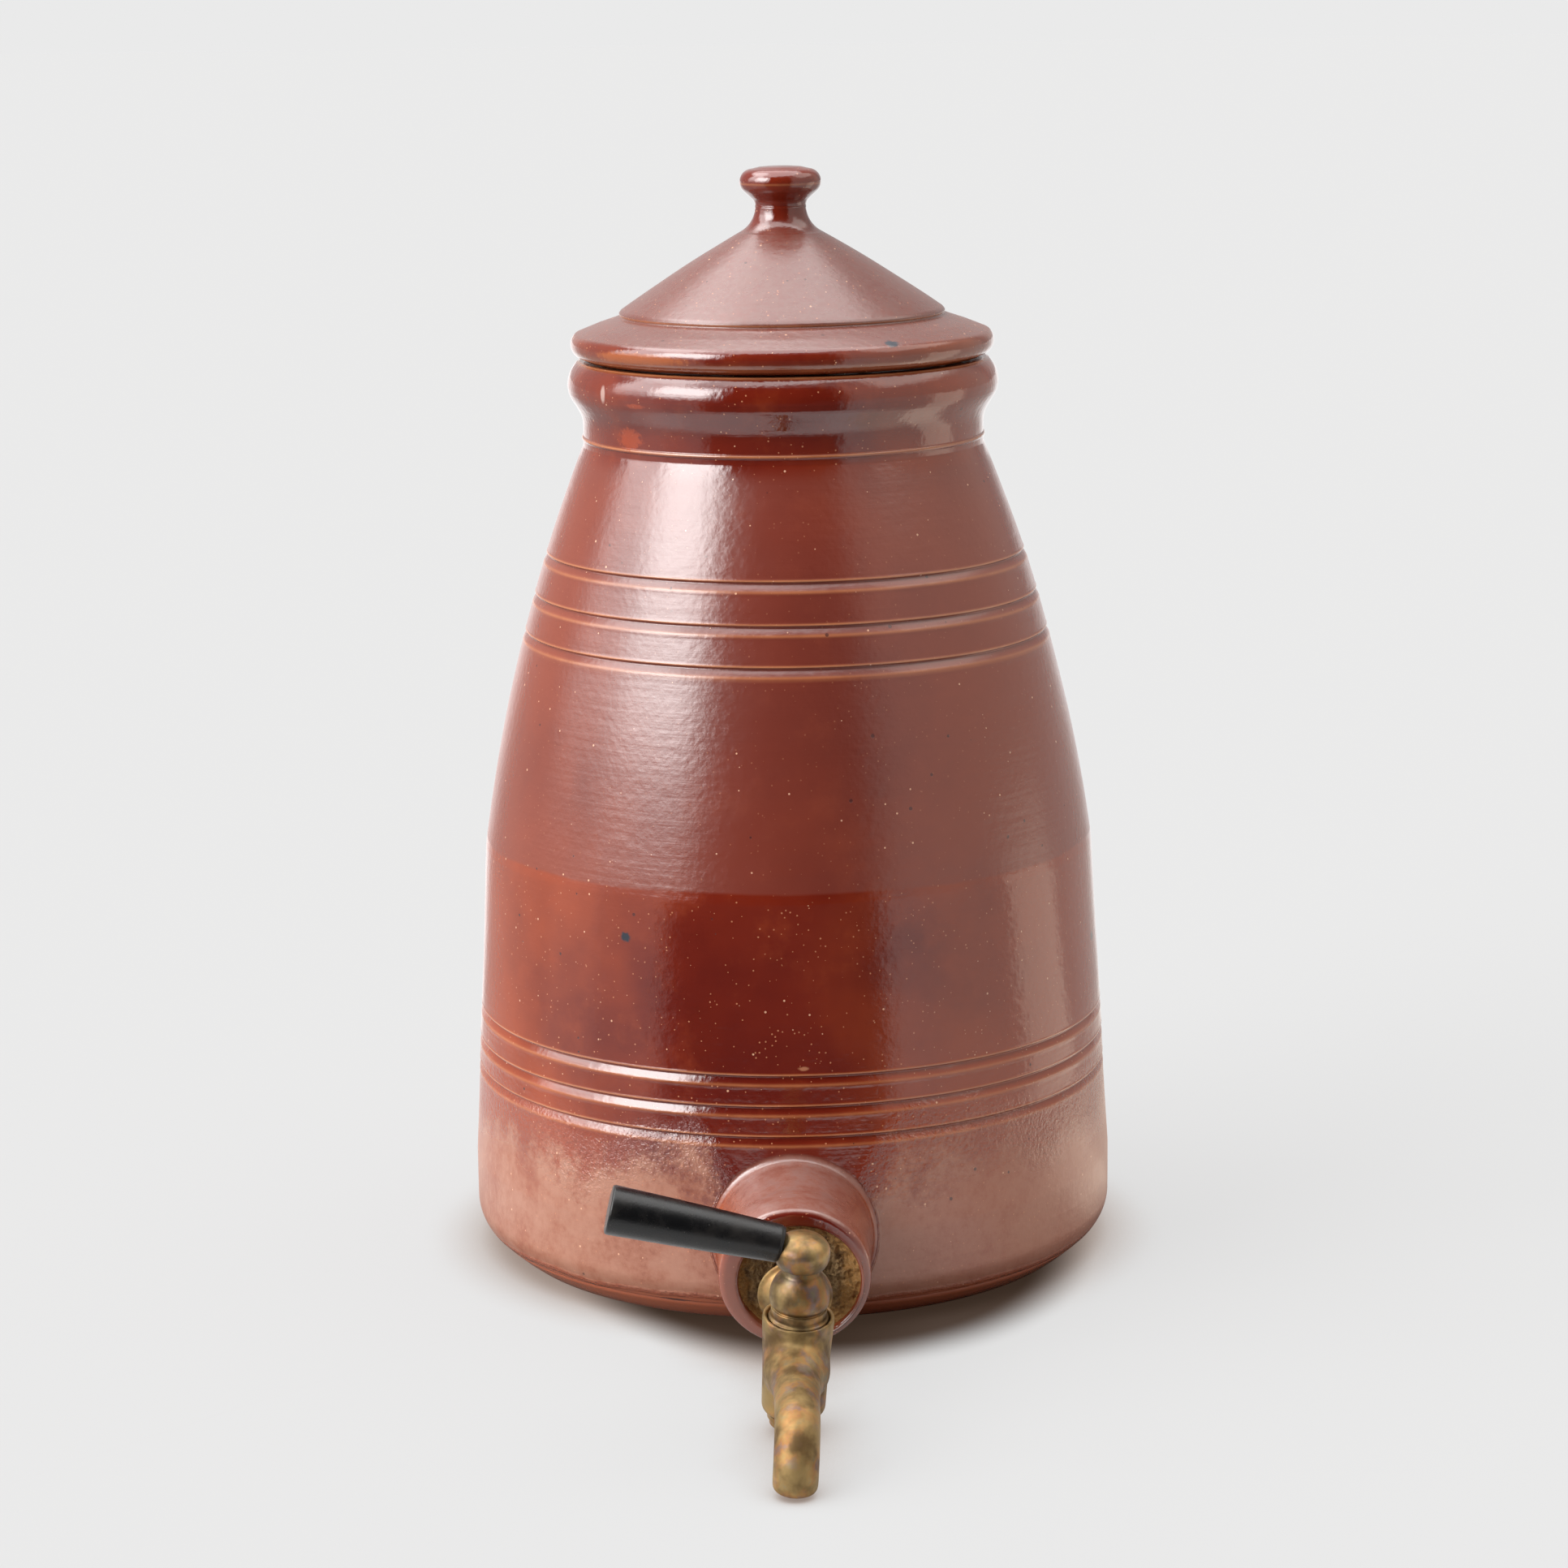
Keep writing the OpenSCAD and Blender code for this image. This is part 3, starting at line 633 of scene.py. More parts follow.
# %% Node helpers
DEGREES = 57.29578       # in a radian
Socket = bpy.types.NodeSocket


def feed(socket, value):
    """Links a value that comes out of a node, and sets one that is a plain number, vector or colour."""
    if isinstance(value, Socket):
        socket.id_data.links.new(value, socket)
    else:
        socket.default_value = value


def add(tree, kind, inputs=None, **settings):
    """A node of a kind, with its settings, and its inputs fed by name or number."""
    made = tree.nodes.new("ShaderNode" + kind)
    for name, value in settings.items():
        setattr(made, name, value)
    for name, value in (inputs or {}).items():
        feed(made.inputs[name], value)
    return made


def join(kind, inputs, **settings):
    """A node in the tree that its inputs come from."""
    tree = next(value.id_data for value in inputs.values() if isinstance(value, Socket))
    return add(tree, kind, inputs, **settings)


def maths(operation, a, b=0.0):
    return join("Math", {0: a, 1: b}, operation=operation).outputs[0]


Socket.__add__ = lambda a, b: maths("ADD", a, b)
Socket.__radd__ = lambda b, a: maths("ADD", a, b)
Socket.__sub__ = lambda a, b: maths("SUBTRACT", a, b)
Socket.__rsub__ = lambda b, a: maths("SUBTRACT", a, b)
Socket.__mul__ = lambda a, b: maths("MULTIPLY", a, b)
Socket.__rmul__ = lambda b, a: maths("MULTIPLY", a, b)


def vectors(operation, a, b=(0.0, 0.0, 0.0)):
    """A vector node. A length or a dot product comes out as a value, all else as a vector."""
    made = join("VectorMath", {0: a, 1: b}, operation=operation)
    return made.outputs["Value" if operation in ("LENGTH", "DOT_PRODUCT") else 0]


def split(vector):
    return join("SeparateXYZ", {0: vector}).outputs


def ramp(value, low, high, to_low=0.0, to_high=1.0):
    """value from low..high to to_low..to_high, eased."""
    return join("MapRange", {0: value, 1: low, 2: high, 3: to_low, 4: to_high},
                interpolation_type="SMOOTHSTEP").outputs[0]


def blend(factor, a, b, how="MIX"):
    """Colour a turning into colour b as factor goes from 0 to 1."""
    tree = next(value.id_data for value in (factor, a, b) if isinstance(value, Socket))
    made = add(tree, "Mix", data_type="RGBA", blend_type=how, clamp_factor=True)
    for number, value in ((0, factor), (6, a), (7, b)):
        feed(made.inputs[number], value)
    return made.outputs[2]


def speckle(vector, scale, detail=3.0, roughness=0.55):
    """Cloudy noise from 0 to 1, with scale patches to the metre."""
    made = join("TexNoise", {"Vector": vector, "Scale": scale, "Detail": detail, "Roughness": roughness})
    return made.outputs[0]


def group(name, inputs, outputs):
    """An empty node group with named sockets, {name: (kind, default)}, and what goes into and out of it."""
    tree = bpy.data.node_groups.new(name, "ShaderNodeTree")
    for label, (kind, default) in inputs.items():
        made = tree.interface.new_socket(label, in_out="INPUT", socket_type="NodeSocket" + kind)
        if default is not None:
            made.default_value = default
    for label, kind in outputs.items():
        tree.interface.new_socket(label, in_out="OUTPUT", socket_type="NodeSocket" + kind)
    return tree, tree.nodes.new("NodeGroupInput").outputs, tree.nodes.new("NodeGroupOutput").inputs


def use(shared, **values):
    """A shared group, placed in the tree that its inputs come from. They are fed by name."""
    made = add(values["Vector"].id_data, "Group", node_tree=shared)
    for name, value in values.items():
        feed(made.inputs[name], value)
    return made.outputs


def material(name):
    """A material, the place on the object in metres and the Principled shader."""
    made = bpy.data.materials.new(name)
    made.use_nodes = True
    tree = made.node_tree
    where = add(tree, "TexCoord").outputs["Object"]
    return made, where, tree.nodes["Principled BSDF"]


def coated(shader, colour, roughness, metallic=0.0):
    for name, value in (("Base Color", colour), ("Roughness", roughness), ("Metallic", metallic)):
        feed(shader.inputs[name], value)


def bumped(shader, height, distance):
    """Relief on a shader: height from 0 to 1 stands for distance in metres."""
    relief = join("Bump", {"Height": height, "Distance": distance, "Strength": 1.0})
    feed(shader.inputs["Normal"], relief.outputs[0])


def soft_span(value, low, high, soft):
    """1 between low and high and 0 outside, with edges that are soft to each side."""
    return ramp(value, low - soft, low + soft) * ramp(value, high - soft, high + soft, 1.0, 0.0)


def bearing(way):
    """Degrees round the pot: 0 to the front, 90 to the right."""
    x, y = split(way)[:2]
    return maths("ARCTAN2", x, y * -1.0) * DEGREES


# %% [markdown]
# Shared effects: rings left by throwing, specks of iron and sand in the
# glaze, a band between two heights with an uneven edge, a single ragged spot,
# and the distance from the boss's axis.

# %% Shared effects
ANYWHERE = {"Vector": ("Vector", None)}

rings, given, out = group("Throwing rings", ANYWHERE, {"Height": "Float"})
squeezed = vectors("MULTIPLY", given["Vector"], (9.0, 9.0, 260.0))
coarse = speckle(squeezed, 1.0, 2.0)
fine = speckle(squeezed, 3.7, 3.0, 0.7)
feed(out["Height"], coarse + fine * 0.35)

specks, given, out = group("Specks", {**ANYWHERE, "Cells": ("Float", 300.0), "Size": ("Float", 0.12),
                                      "Share": ("Float", 0.4)}, {"Mask": "Float"})
cells = add(specks, "TexVoronoi", {"Vector": given["Vector"], "Scale": given["Cells"]})
chance = add(specks, "SeparateColor", {0: cells.outputs["Color"]}).outputs
small = given["Size"] * ramp(chance[1], 0.0, 1.0, 0.35, 1.0)
dot = maths("LESS_THAN", cells.outputs["Distance"], small)
feed(out["Mask"], dot * maths("LESS_THAN", chance[0], given["Share"]))

band, given, out = group("Uneven band", {**ANYWHERE, "From": ("Float", 0.0), "To": ("Float", 0.1),
                                         "Waver": ("Float", 0.002)}, {"Mask": "Float"})
drift = speckle(given["Vector"], 22.0, 3.0) - 0.5
height = split(given["Vector"])[2] + drift * given["Waver"]
feed(out["Mask"], ramp(height, given["From"], given["To"]))

mark, given, out = group("Mark", {**ANYWHERE, "Centre": ("Vector", None), "Size": ("Vector", (1, 1, 1)),
                                  "Ragged": ("Float", 0.0)}, {"Mask": "Float"})
away = vectors("SUBTRACT", given["Vector"], given["Centre"])
away = vectors("LENGTH", vectors("DIVIDE", away, given["Size"]))
bent = speckle(given["Vector"], 700.0, 3.0) - 0.5
away = away + bent * given["Ragged"]
feed(out["Mask"], ramp(away, 0.55, 1.0, 1.0, 0.0))

around, given, out = group("Round the boss", ANYWHERE, {"Distance": "Float"})
flat = vectors("SUBTRACT", given["Vector"], (0.0, 0.0, BOSS_Z * MM))
flat = vectors("MULTIPLY", flat, (1.0, 0.0, 1.0))
feed(out["Distance"], vectors("LENGTH", flat))
print("shared effects:", [shared.name for shared in bpy.data.node_groups])

# %% [markdown]
# ## The glaze
#
# A salt or slip glaze over brown stoneware: dark glossy red-brown, orange
# where it runs thin over an edge, hazy near the foot with a pale salmon
# colour that is partly a painted sheen, a painted pinkish-grey sheen on tops
# that face the light overhead, and the sides painted more orange than the
# darker middle of the front as painted light and shade, with pale specks.
# Edges are found once, in the mesh, as the angle between a point's normal
# and its neighbours', and kept as an attribute, since only the mesh knows them.

# %% Thin glaze on edges
THIN_FROM, THIN_SPAN = 0.5, 1.0      # curvature per mm at which the glaze starts to run thin


def mark_edges(thing, extra):
    """The point attribute "thin": where the surface turns outwards sharply, and where extra says.

    extra takes the radius, the height and the angle of the points and gives the glaze's thinness there."""
    mesh = thing.data
    count = len(mesh.vertices)
    points, normals = np.empty(count * 3), np.empty(count * 3)
    mesh.vertices.foreach_get("co", points)
    mesh.vertex_normals.foreach_get("vector", normals)
    points, normals = points.reshape(-1, 3), normals.reshape(-1, 3)
    pairs = np.empty(len(mesh.edges) * 2, int)
    mesh.edges.foreach_get("vertices", pairs)
    a, b = pairs.reshape(-1, 2).T
    way = points[b] - points[a]
    length = np.maximum(np.linalg.norm(way, axis=1), 1e-7)
    bend = ((normals[b] - normals[a]) * way).sum(1) / length ** 2      # 1 / radius
    total, weight = np.zeros(count), np.zeros(count)
    for end in (a, b):
        np.add.at(total, end, np.maximum(bend, 0) * length)
        np.add.at(weight, end, length)
    value = total / np.maximum(weight, 1e-9)
    spread, near = value.copy(), np.ones(count)
    for one, other in ((a, b), (b, a)):
        np.add.at(spread, one, value[other])
        np.add.at(near, one, 1)
    value = np.clip((spread / near * MM - THIN_FROM) / THIN_SPAN, 0, 1)
    x, y, z = points.T / MM
    value = np.maximum(0.7 * value, extra(np.hypot(x, y), z, np.arctan2(y, x)))
    mesh.attributes.new("thin", "FLOAT", "POINT").data.foreach_set("value", value.astype(np.float32))
    print(thing.name, "thin glaze on", round(float((value > 0.5).mean()), 3), "of its points")


def hill(value, middle, width):
    """1 at the middle, falling off smoothly to both sides."""
    return np.exp(-(((value - middle) / width) ** 2))


def crock_lines(radius, height, angle):
    """Thin glaze on the collar, the rim and both lips of every turned line; on the rim's edge and the lower
    lips, which catch the light, it is partly a painted highlight.
    """
    # the rim's edge: thin glaze, partly a painted highlight
    thin = 0.9 * np.maximum(hill(height, NECK_Z + 2.6, 0.35), hill(height, RIM_Z - 0.2, 0.35))
    for middle in LINES:
        d = height + sway(angle, middle) - middle
        # the lower lip faces up: its thin glaze is partly a painted highlight
        thin = np.maximum(thin, np.maximum(0.95 * hill(d, 0.95, 0.30), 0.55 * hill(d, -2.2, 0.45)))
    return thin * (radius > 60)


def lid_lines(radius, height, angle):
    """Thin glaze on the step, the knob's edge and the flange's."""
    step = 0.9 * hill(height, STEP_Z + 0.9, 0.25) * (radius > 48)
    flange = 0.35 * hill(height, SEAT_Z + 2.2, 1.2) * (radius > 60)
    return np.maximum(np.maximum(step, 0.6 * hill(height, KNOB_Z - 0.6, 0.25)), flange)


mark_edges(crock, crock_lines)
mark_edges(lid, lid_lines)


# %% The glaze's ground
CLOUD, MATT_RED, BLOOM_SHEEN_GREY = (0.34, 0.055, 0.014, 1), (0.20, 0.045, 0.028, 1), (0.175, 0.062, 0.047, 1)
HAZE_SHEEN_DEEP, HAZE_SHEEN_PALE, HAZE_SHEEN_RIGHT = (0.34, 0.105, 0.048, 1), (0.43, 0.19, 0.118, 1), (0.42, 0.12, 0.055, 1)
THIN_EDGE, PALE_SPECK = (0.55, 0.20, 0.08, 1), (0.55, 0.22, 0.11, 1)
SAND, IRON = (0.75, 0.42, 0.26, 1), (0.06, 0.012, 0.01, 1)

coat, given, out = group("Glaze", {
    **ANYWHERE, "Thin": ("Float", 0.0), "Matt": ("Float", 0.0), "Bloom": ("Float", 0.0),
    "Haze": ("Float", 0.0), "Glassy": ("Float", 0.0), "Deep": ("Color", (0.1, 0.01, 0.004, 1)),
    "Ground": ("Color", (0.2, 0.02, 0.006, 1)), "Flame": ("Color", (0.34, 0.06, 0.012, 1))},
    {"Color": "Color", "Roughness": "Float", "Height": "Float"})
where, thin, matt, bloom_and_sheen, haze_and_sheen = (given[n] for n in ("Vector", "Thin", "Matt", "Bloom", "Haze"))
to_side = split(where)[0]
patches = speckle(where, 14.0, 4.0, 0.6)
clouds = speckle(where, 60.0, 4.0, 0.65)
fine = speckle(where, 420.0, 4.0, 0.7)


def centred(value, size):
    """Noise from -size/2 to size/2."""
    return (value - 0.5) * size


# painted light and shade: the sides, which catch the light, painted more orange, and the middle of the front,
# which mirrors the dark side of the room, left darker red
aside = maths("ABSOLUTE", to_side + 0.012)
lit_sides = ramp(aside + centred(patches, 0.1), 0.02, 0.085)
colour = blend(ramp(patches, 0.35, 0.7), given["Deep"], given["Ground"])
colour = blend(lit_sides * 0.9, colour, given["Flame"])
colour = blend(ramp(clouds, 0.5, 0.75) * 0.3, colour, CLOUD)
colour = blend(matt * 0.55, colour, MATT_RED)
# painted sheen: a pinkish-grey colour where the bloom is, on tops that face the light overhead; the bloom's
# extra roughness is real
colour = blend(bloom_and_sheen * ramp(fine, 0.35, 0.62, 0.62, 1.0), colour, BLOOM_SHEEN_GREY)
# the haze near the foot, mottled, with a crawled edge: a rougher glaze whose pale salmon colour is partly a
# painted sheen
mottle = ramp(clouds + centred(fine, 0.5), 0.3, 0.7)
haze_sheen_colour = blend(mottle, HAZE_SHEEN_DEEP, HAZE_SHEEN_PALE)
haze_sheen_colour = blend(ramp(to_side, 0.0, 0.06, 0.0, 0.5), haze_sheen_colour, HAZE_SHEEN_RIGHT)
crawled = haze_and_sheen + centred(fine, 1.0) + centred(clouds, 1.3)
haze_sheen_mask = ramp(crawled, 0.30, 1.0) * ramp(haze_and_sheen, 0.0, 0.15)
colour = blend(haze_sheen_mask * 0.9, colour, haze_sheen_colour)
broken = 0.75 + ramp(clouds, 0.35, 0.6) * 0.25
colour = blend(thin * broken, colour, THIN_EDGE)
# specks: pale ones that matt glaze hides, grains of sand and spots of iron
pale, sand, iron = (use(specks, Vector=where, Cells=cells, Size=size, Share=share)["Mask"]
                    for cells, size, share in ((620.0, 0.16, 0.6), (260.0, 0.09, 0.5), (170.0, 0.10, 0.3)))
pale = pale * (0.8 - matt * 0.55)
colour = blend(pale, colour, PALE_SPECK)
colour = blend(sand * 0.9, colour, SAND)
colour = blend(iron * 0.8, colour, IRON)
feed(out["Color"], colour)

gloss = 0.115 + matt * 0.13 + bloom_and_sheen * 0.16 + haze_and_sheen * (haze_and_sheen * 0.20)
gloss = gloss - given["Glassy"] * 0.04
feed(out["Roughness"], gloss + centred(clouds, 0.12))

ring = use(rings, Vector=where)["Height"]
peel = speckle(where, 430.0, 3.0, 0.5)
crinkle = speckle(where, 760.0, 3.0, 0.6)
edge_of_haze = ramp(haze_and_sheen, 0.0, 0.3) * ramp(haze_and_sheen, 0.6, 1.0, 1.0, 0.0)
crinkled = crinkle * (0.06 + edge_of_haze * 2.4)
relief = ring * 0.4 + crinkled + peel * 0.42 + clouds * 0.5
feed(out["Height"], relief - iron * 0.5)

# %% The glaze on the crock and the lid
def glaze(name, zones, tones, marks):
    """A glaze. zones(where) gives the masks (matt, bloom_and_sheen, haze_and_sheen, glassy), whose sheens
    are partly painted light, and tints (mask, colour), tones the three grounds and marks the kiln's
    accidents: (centre, size, colour, share, raggedness), in mm."""
    made, where, shader = material(name)
    (matt, bloom_and_sheen, haze_and_sheen, glassy), tints = zones(where)
    thin = add(made.node_tree, "Attribute", attribute_name="thin").outputs["Fac"]
    deep, ground, lit_sides = tones
    skin = use(coat, Vector=where, Thin=thin, Matt=matt, Bloom=bloom_and_sheen, Haze=haze_and_sheen, Glassy=glassy,
               Deep=deep, Ground=ground, Flame=lit_sides)
    colour = skin["Color"]
    for mask, tint in tints:
        colour = blend(mask, colour, tint)
    for centre, size, tint, share, ragged in marks:
        spot = use(mark, Vector=where, Centre=[c * MM for c in centre], Size=[a * MM for a in size],
                   Ragged=ragged)
        colour = blend(spot["Mask"] * share, colour, tint)
    coated(shader, colour, skin["Roughness"])
    shader.inputs["IOR"].default_value = GLAZE_IOR
    bumped(shader, skin["Height"], 0.00022)
    return made


def risen(where, low, high, waver):
    """A mask that goes from 0 to 1 between two heights in metres, with an uneven edge."""
    return use(band, Vector=where, From=low, To=high, Waver=waver)["Mask"]


GLAZE_IOR = 1.85
BOSS_ORANGE, BOSS_TOP_SHEEN = (0.34, 0.082, 0.032, 1), (0.23, 0.135, 0.12, 1)
FACE_ORANGE, FOOT_ORANGE = (0.30, 0.075, 0.03, 1), (0.50, 0.13, 0.055, 1)


def crock_zones(where):
    """Matt above the dip line, glassy at the neck, hazy near the foot with a partly painted sheen, and a
    painted pinkish-grey sheen on the boss, most on its top.
    """
    dipped = risen(where, 0.1314, 0.1326, 0.003)
    neck = risen(where, 0.248, 0.256, 0.004)
    above_foot_ring = risen(where, 0.007, 0.0105, 0.006)
    x, y, z = split(where)
    # the haze and its painted sheen stand lower in the middle of the front, which is left dark red as painted
    # shade
    middle = ramp(maths("ABSOLUTE", x), 0.012, 0.030, 1.0, 0.0)
    lower = join("CombineXYZ", {2: middle * ramp(y, -0.04, 0.0, 0.02, 0.0)})
    clear = risen(vectors("ADD", where, lower.outputs[0]), 0.034, 0.072, 0.04)
    # the boss, its outer skin, and the top of it
    off_axis = use(around, Vector=where)["Distance"]
    boss = ramp(off_axis, 0.0245, 0.026, 1.0, 0.0) * ramp(y, -0.09, -0.08, 1.0, 0.0)
    depth = vectors("SUBTRACT", where, tuple(v * MM for v in tap_place.col[3][:3]))
    depth = vectors("DOT_PRODUCT", depth, tuple(tap_place.col[1][:3]))
    skin = boss * ramp(depth, 0.0002, 0.0014)
    top = ramp(z, 0.038, 0.052)
    drift = speckle(where, 170.0, 4.0, 0.7)
    tints = [(skin * ramp(drift, 0.35, 0.6, 0.35, 0.8), BOSS_ORANGE),
             # a painted pinkish-grey sheen on the boss's top
             (skin * top * ramp(drift, 0.3, 0.65, 0.25, 0.8), BOSS_TOP_SHEEN),
             # the boss's face orange low down, faded out towards its top, which is left dark red as painted
             # shade
             ((boss - skin) * ramp(z, 0.03, 0.045, 0.7, 0.0), FACE_ORANGE),
             ((1.0 - above_foot_ring) * 0.85, FOOT_ORANGE)]
    haze_and_sheen = (1.0 - clear) * (1.0 - boss) * above_foot_ring
    bloom_and_sheen = skin * (0.15 + top * 0.7)
    return (dipped - neck, bloom_and_sheen, haze_and_sheen, neck), tints


def lid_zones(where):
    """A rougher bloom on the cone with a painted pinkish-grey sheen, glassy below its edge and on the knob.
    """
    bloom_and_sheen = risen(where, 0.2872, 0.2886, 0.001) - risen(where, 0.316, 0.324, 0.003)
    return (0.0, bloom_and_sheen, 0.0, 1.0 - bloom_and_sheen), []


INKY, RED, ORANGE = (0.018, 0.022, 0.035, 1), (0.34, 0.045, 0.008, 1), (0.42, 0.10, 0.018, 1)
SALMON, PALE_PINK = (0.5, 0.2, 0.1, 1), (0.62, 0.42, 0.36, 1)
BROWN, NEARLY_BLACK = (0.12, 0.02, 0.01, 1), (0.05, 0.008, 0.004, 1)
crock_marks = [
    ((-48.9, -83.0, 117.1), (1.9, 2.6, 1.9), INKY, 1.0, 0.8),
    ((94.5, -23.6, 100.8), (2.4, 2.4, 1.8), INKY, 1.0, 0.6),
    ((-54.1, -38.6, 273.5), (1.0, 2.0, 4.0), PALE_PINK, 0.7, 0.3),
    ((-44.5, -49.2, 270.6), (4.5, 4.5, 0.9), RED, 0.8, 0.8),
    ((-46.2, -41.2, 260.0), (6.0, 6.0, 4.2), RED, 0.9, 1.2),
    ((3.4, -98.6, 80.2), (2.2, 2.5, 0.9), SALMON, 0.8, 0.5),
    ((-35.7, -90.1, 7.0), (7.5, 7.5, 0.7), NEARLY_BLACK, 0.9, 0.5),
    ((-33.8, -69.3, 212.4), (0.6, 1.5, 0.6), BROWN, 0.9, 0.4),
    ((-23.3, -68.2, 228.3), (0.7, 1.5, 0.5), BROWN, 0.9, 0.4),
    ((-48.7, -54.8, 224.7), (0.6, 1.5, 0.6), BROWN, 0.9, 0.4),
]
lid_marks = [((32.2, -53.2, 288.5), (2.6, 2.8, 1.6), INKY, 1.0, 1.0),
             ((-40.0, -46.0, 284.6), (26.0, 20.0, 2.2), ORANGE, 0.8, 0.6)]
crock.data.materials.append(glaze("Glaze_on_the_crock", crock_zones, (
    (0.115, 0.0075, 0.003, 1), (0.18, 0.016, 0.005, 1), (0.34, 0.055, 0.012, 1)), crock_marks))
lid.data.materials.append(glaze("Glaze_on_the_lid", lid_zones, (
    (0.14, 0.010, 0.004, 1), (0.20, 0.022, 0.007, 1), (0.33, 0.070, 0.014, 1)), lid_marks))
print("marks on the glaze:", len(crock_marks), "and", len(lid_marks))

# %% [markdown]
# ## Brass, putty, cork, steel and hard rubber
#
# Old brass is not one colour: a gold ground, brown where hands don't reach,
# and thin films of oxide that turn it orange, purple and green in patches.

# %% Brass
OXIDE_FILMS = ((0.30, (0.30, 0.34, 0.26, 1)), (0.42, (0.62, 0.36, 0.12, 1)), (0.50, (0.72, 0.30, 0.10, 1)),
               (0.56, (0.45, 0.24, 0.22, 1)), (0.62, (0.30, 0.24, 0.30, 1)), (0.72, (0.34, 0.36, 0.24, 1)))

tarnish, given, out = group("Tarnish", {
    **ANYWHERE, "Bright": ("Color", (0.5, 0.3, 0.1, 1)), "Dark": ("Color", (0.15, 0.08, 0.03, 1)),
    "Films": ("Float", 0.5)}, {"Color": "Color", "Roughness": "Float", "Height": "Float"})
broad = speckle(given["Vector"], 75.0, 4.0, 0.6)
tone = blend(ramp(broad, 0.38, 0.62), given["Dark"], given["Bright"])
hue = add(tarnish, "ValToRGB", {0: speckle(given["Vector"], 160.0, 3.0, 0.6)})
stops = hue.color_ramp.elements
for place, tint in OXIDE_FILMS:
    stops.new(place).color = tint
stops.remove(stops[0])
stops.remove(stops[-1])
filmed = ramp(speckle(given["Vector"], 130.0), 0.42, 0.6) * given["Films"]
feed(out["Color"], blend(filmed, tone, hue.outputs[0]))
feed(out["Roughness"], ramp(broad, 0.3, 0.7, 0.52, 0.40))
feed(out["Height"], speckle(given["Vector"], 900.0, 3.0, 0.6))


def brass(name, bright, dark, films, rough_shift, metallic):
    """Brass between two tones. films says how much oxide shows, rough_shift how dull the surface is."""
    made, where, shader = material(name)
    aged = use(tarnish, Vector=where, Bright=bright, Dark=dark, Films=films)
    coated(shader, aged["Color"], aged["Roughness"] + rough_shift, metallic)
    bumped(shader, aged["Height"], 0.00005)
    return made


CAST, CAST_DARK = (0.32, 0.215, 0.085, 1), (0.13, 0.075, 0.027, 1)
TURNED, TURNED_DARK = (0.38, 0.265, 0.115, 1), (0.13, 0.08, 0.036, 1)
tap.data.materials.clear()
tap.data.materials.append(brass("Cast_brass", CAST, CAST_DARK, 0.26, 0.08, 0.7))
key.data.materials.append(brass("Turned_brass", TURNED, TURNED_DARK, 0.3, -0.04, 0.88))
print("finishes so far:", [made.name for made in bpy.data.materials])

# %% Putty and cork
PUTTY_DARK, PUTTY_PALE, PUTTY_CRUST = (0.17, 0.092, 0.036, 1), (0.31, 0.19, 0.08, 1), (0.42, 0.21, 0.06, 1)
CRUMB_PALE, CRUMB_DARK = (0.54, 0.37, 0.17, 1), (0.07, 0.035, 0.014, 1)
CORK_DARK, CORK_PALE, CORK_PORE = (0.33, 0.19, 0.085, 1), (0.50, 0.31, 0.15, 1), (0.10, 0.05, 0.03, 1)

made, where, shader = material("Dried_putty")
big = speckle(where, 260.0, 5.0, 0.7)
crumb = speckle(where, 1100.0, 4.0, 0.7)
# a crust of rust and earth where the putty meets the clay
off_axis = use(around, Vector=where)["Distance"]
crust = ramp(off_axis + (big - 0.5) * 0.012, 0.0125, 0.0165)
colour = blend(ramp(big, 0.35, 0.6), PUTTY_DARK, PUTTY_PALE)
colour = blend(crust, colour, PUTTY_CRUST)
colour = blend(ramp(crumb, 0.5, 0.7) * 0.5, colour, CRUMB_PALE)
colour = blend(ramp(crumb, 0.44, 0.36) * 0.5, colour, CRUMB_DARK)
coated(shader, colour, 0.85)
bumped(shader, big + crumb, 0.0008)
putty.data.materials.append(made)

cork, where, shader = material("Cork")
pores = use(specks, Vector=where, Cells=420.0, Size=0.3, Share=0.4)["Mask"]
bark = speckle(where, 350.0, 4.0, 0.6)
colour = blend(ramp(bark, 0.4, 0.6), CORK_DARK, CORK_PALE)
coated(shader, blend(pores, colour, CORK_PORE), 0.8)
bumped(shader, bark - pores, 0.0003)
print("putty and cork are ready")

# %% Hard rubber and steel
RUBBER_DEEP, RUBBER_WORN, DUST = (0.0045, 0.0045, 0.005, 1), (0.014, 0.012, 0.011, 1), (0.10, 0.09, 0.08, 1)
STEEL_DARK, STEEL_PALE = (0.30, 0.28, 0.26, 1), (0.45, 0.43, 0.40, 1)

made, where, shader = material("Hard_rubber")
wear = speckle(where, 120.0, 5.0, 0.65)
colour = blend(ramp(wear, 0.4, 0.7), RUBBER_DEEP, RUBBER_WORN)
dust = use(specks, Vector=where, Cells=900.0, Size=0.16, Share=0.25)["Mask"]
coated(shader, blend(dust * 0.5, colour, DUST), ramp(wear, 0.3, 0.7, 0.22, 0.36))
bumped(shader, speckle(where, 1500.0, 2.0), 0.00004)
grip.data.materials.append(made)

steel, where, shader = material("Dull_steel")
drawn = speckle(where, 700.0, 4.0)
coated(shader, blend(drawn, STEEL_DARK, STEEL_PALE), ramp(drawn, 0.3, 0.7, 0.30, 0.5), 1.0)
print("finishes:", [made.name for made in bpy.data.materials])

# %% [markdown]
# Four solids keep their own shape, because it is right and mostly hidden: the
# cork, the washer, the screw and the pin. A small Bevel softens their edges.

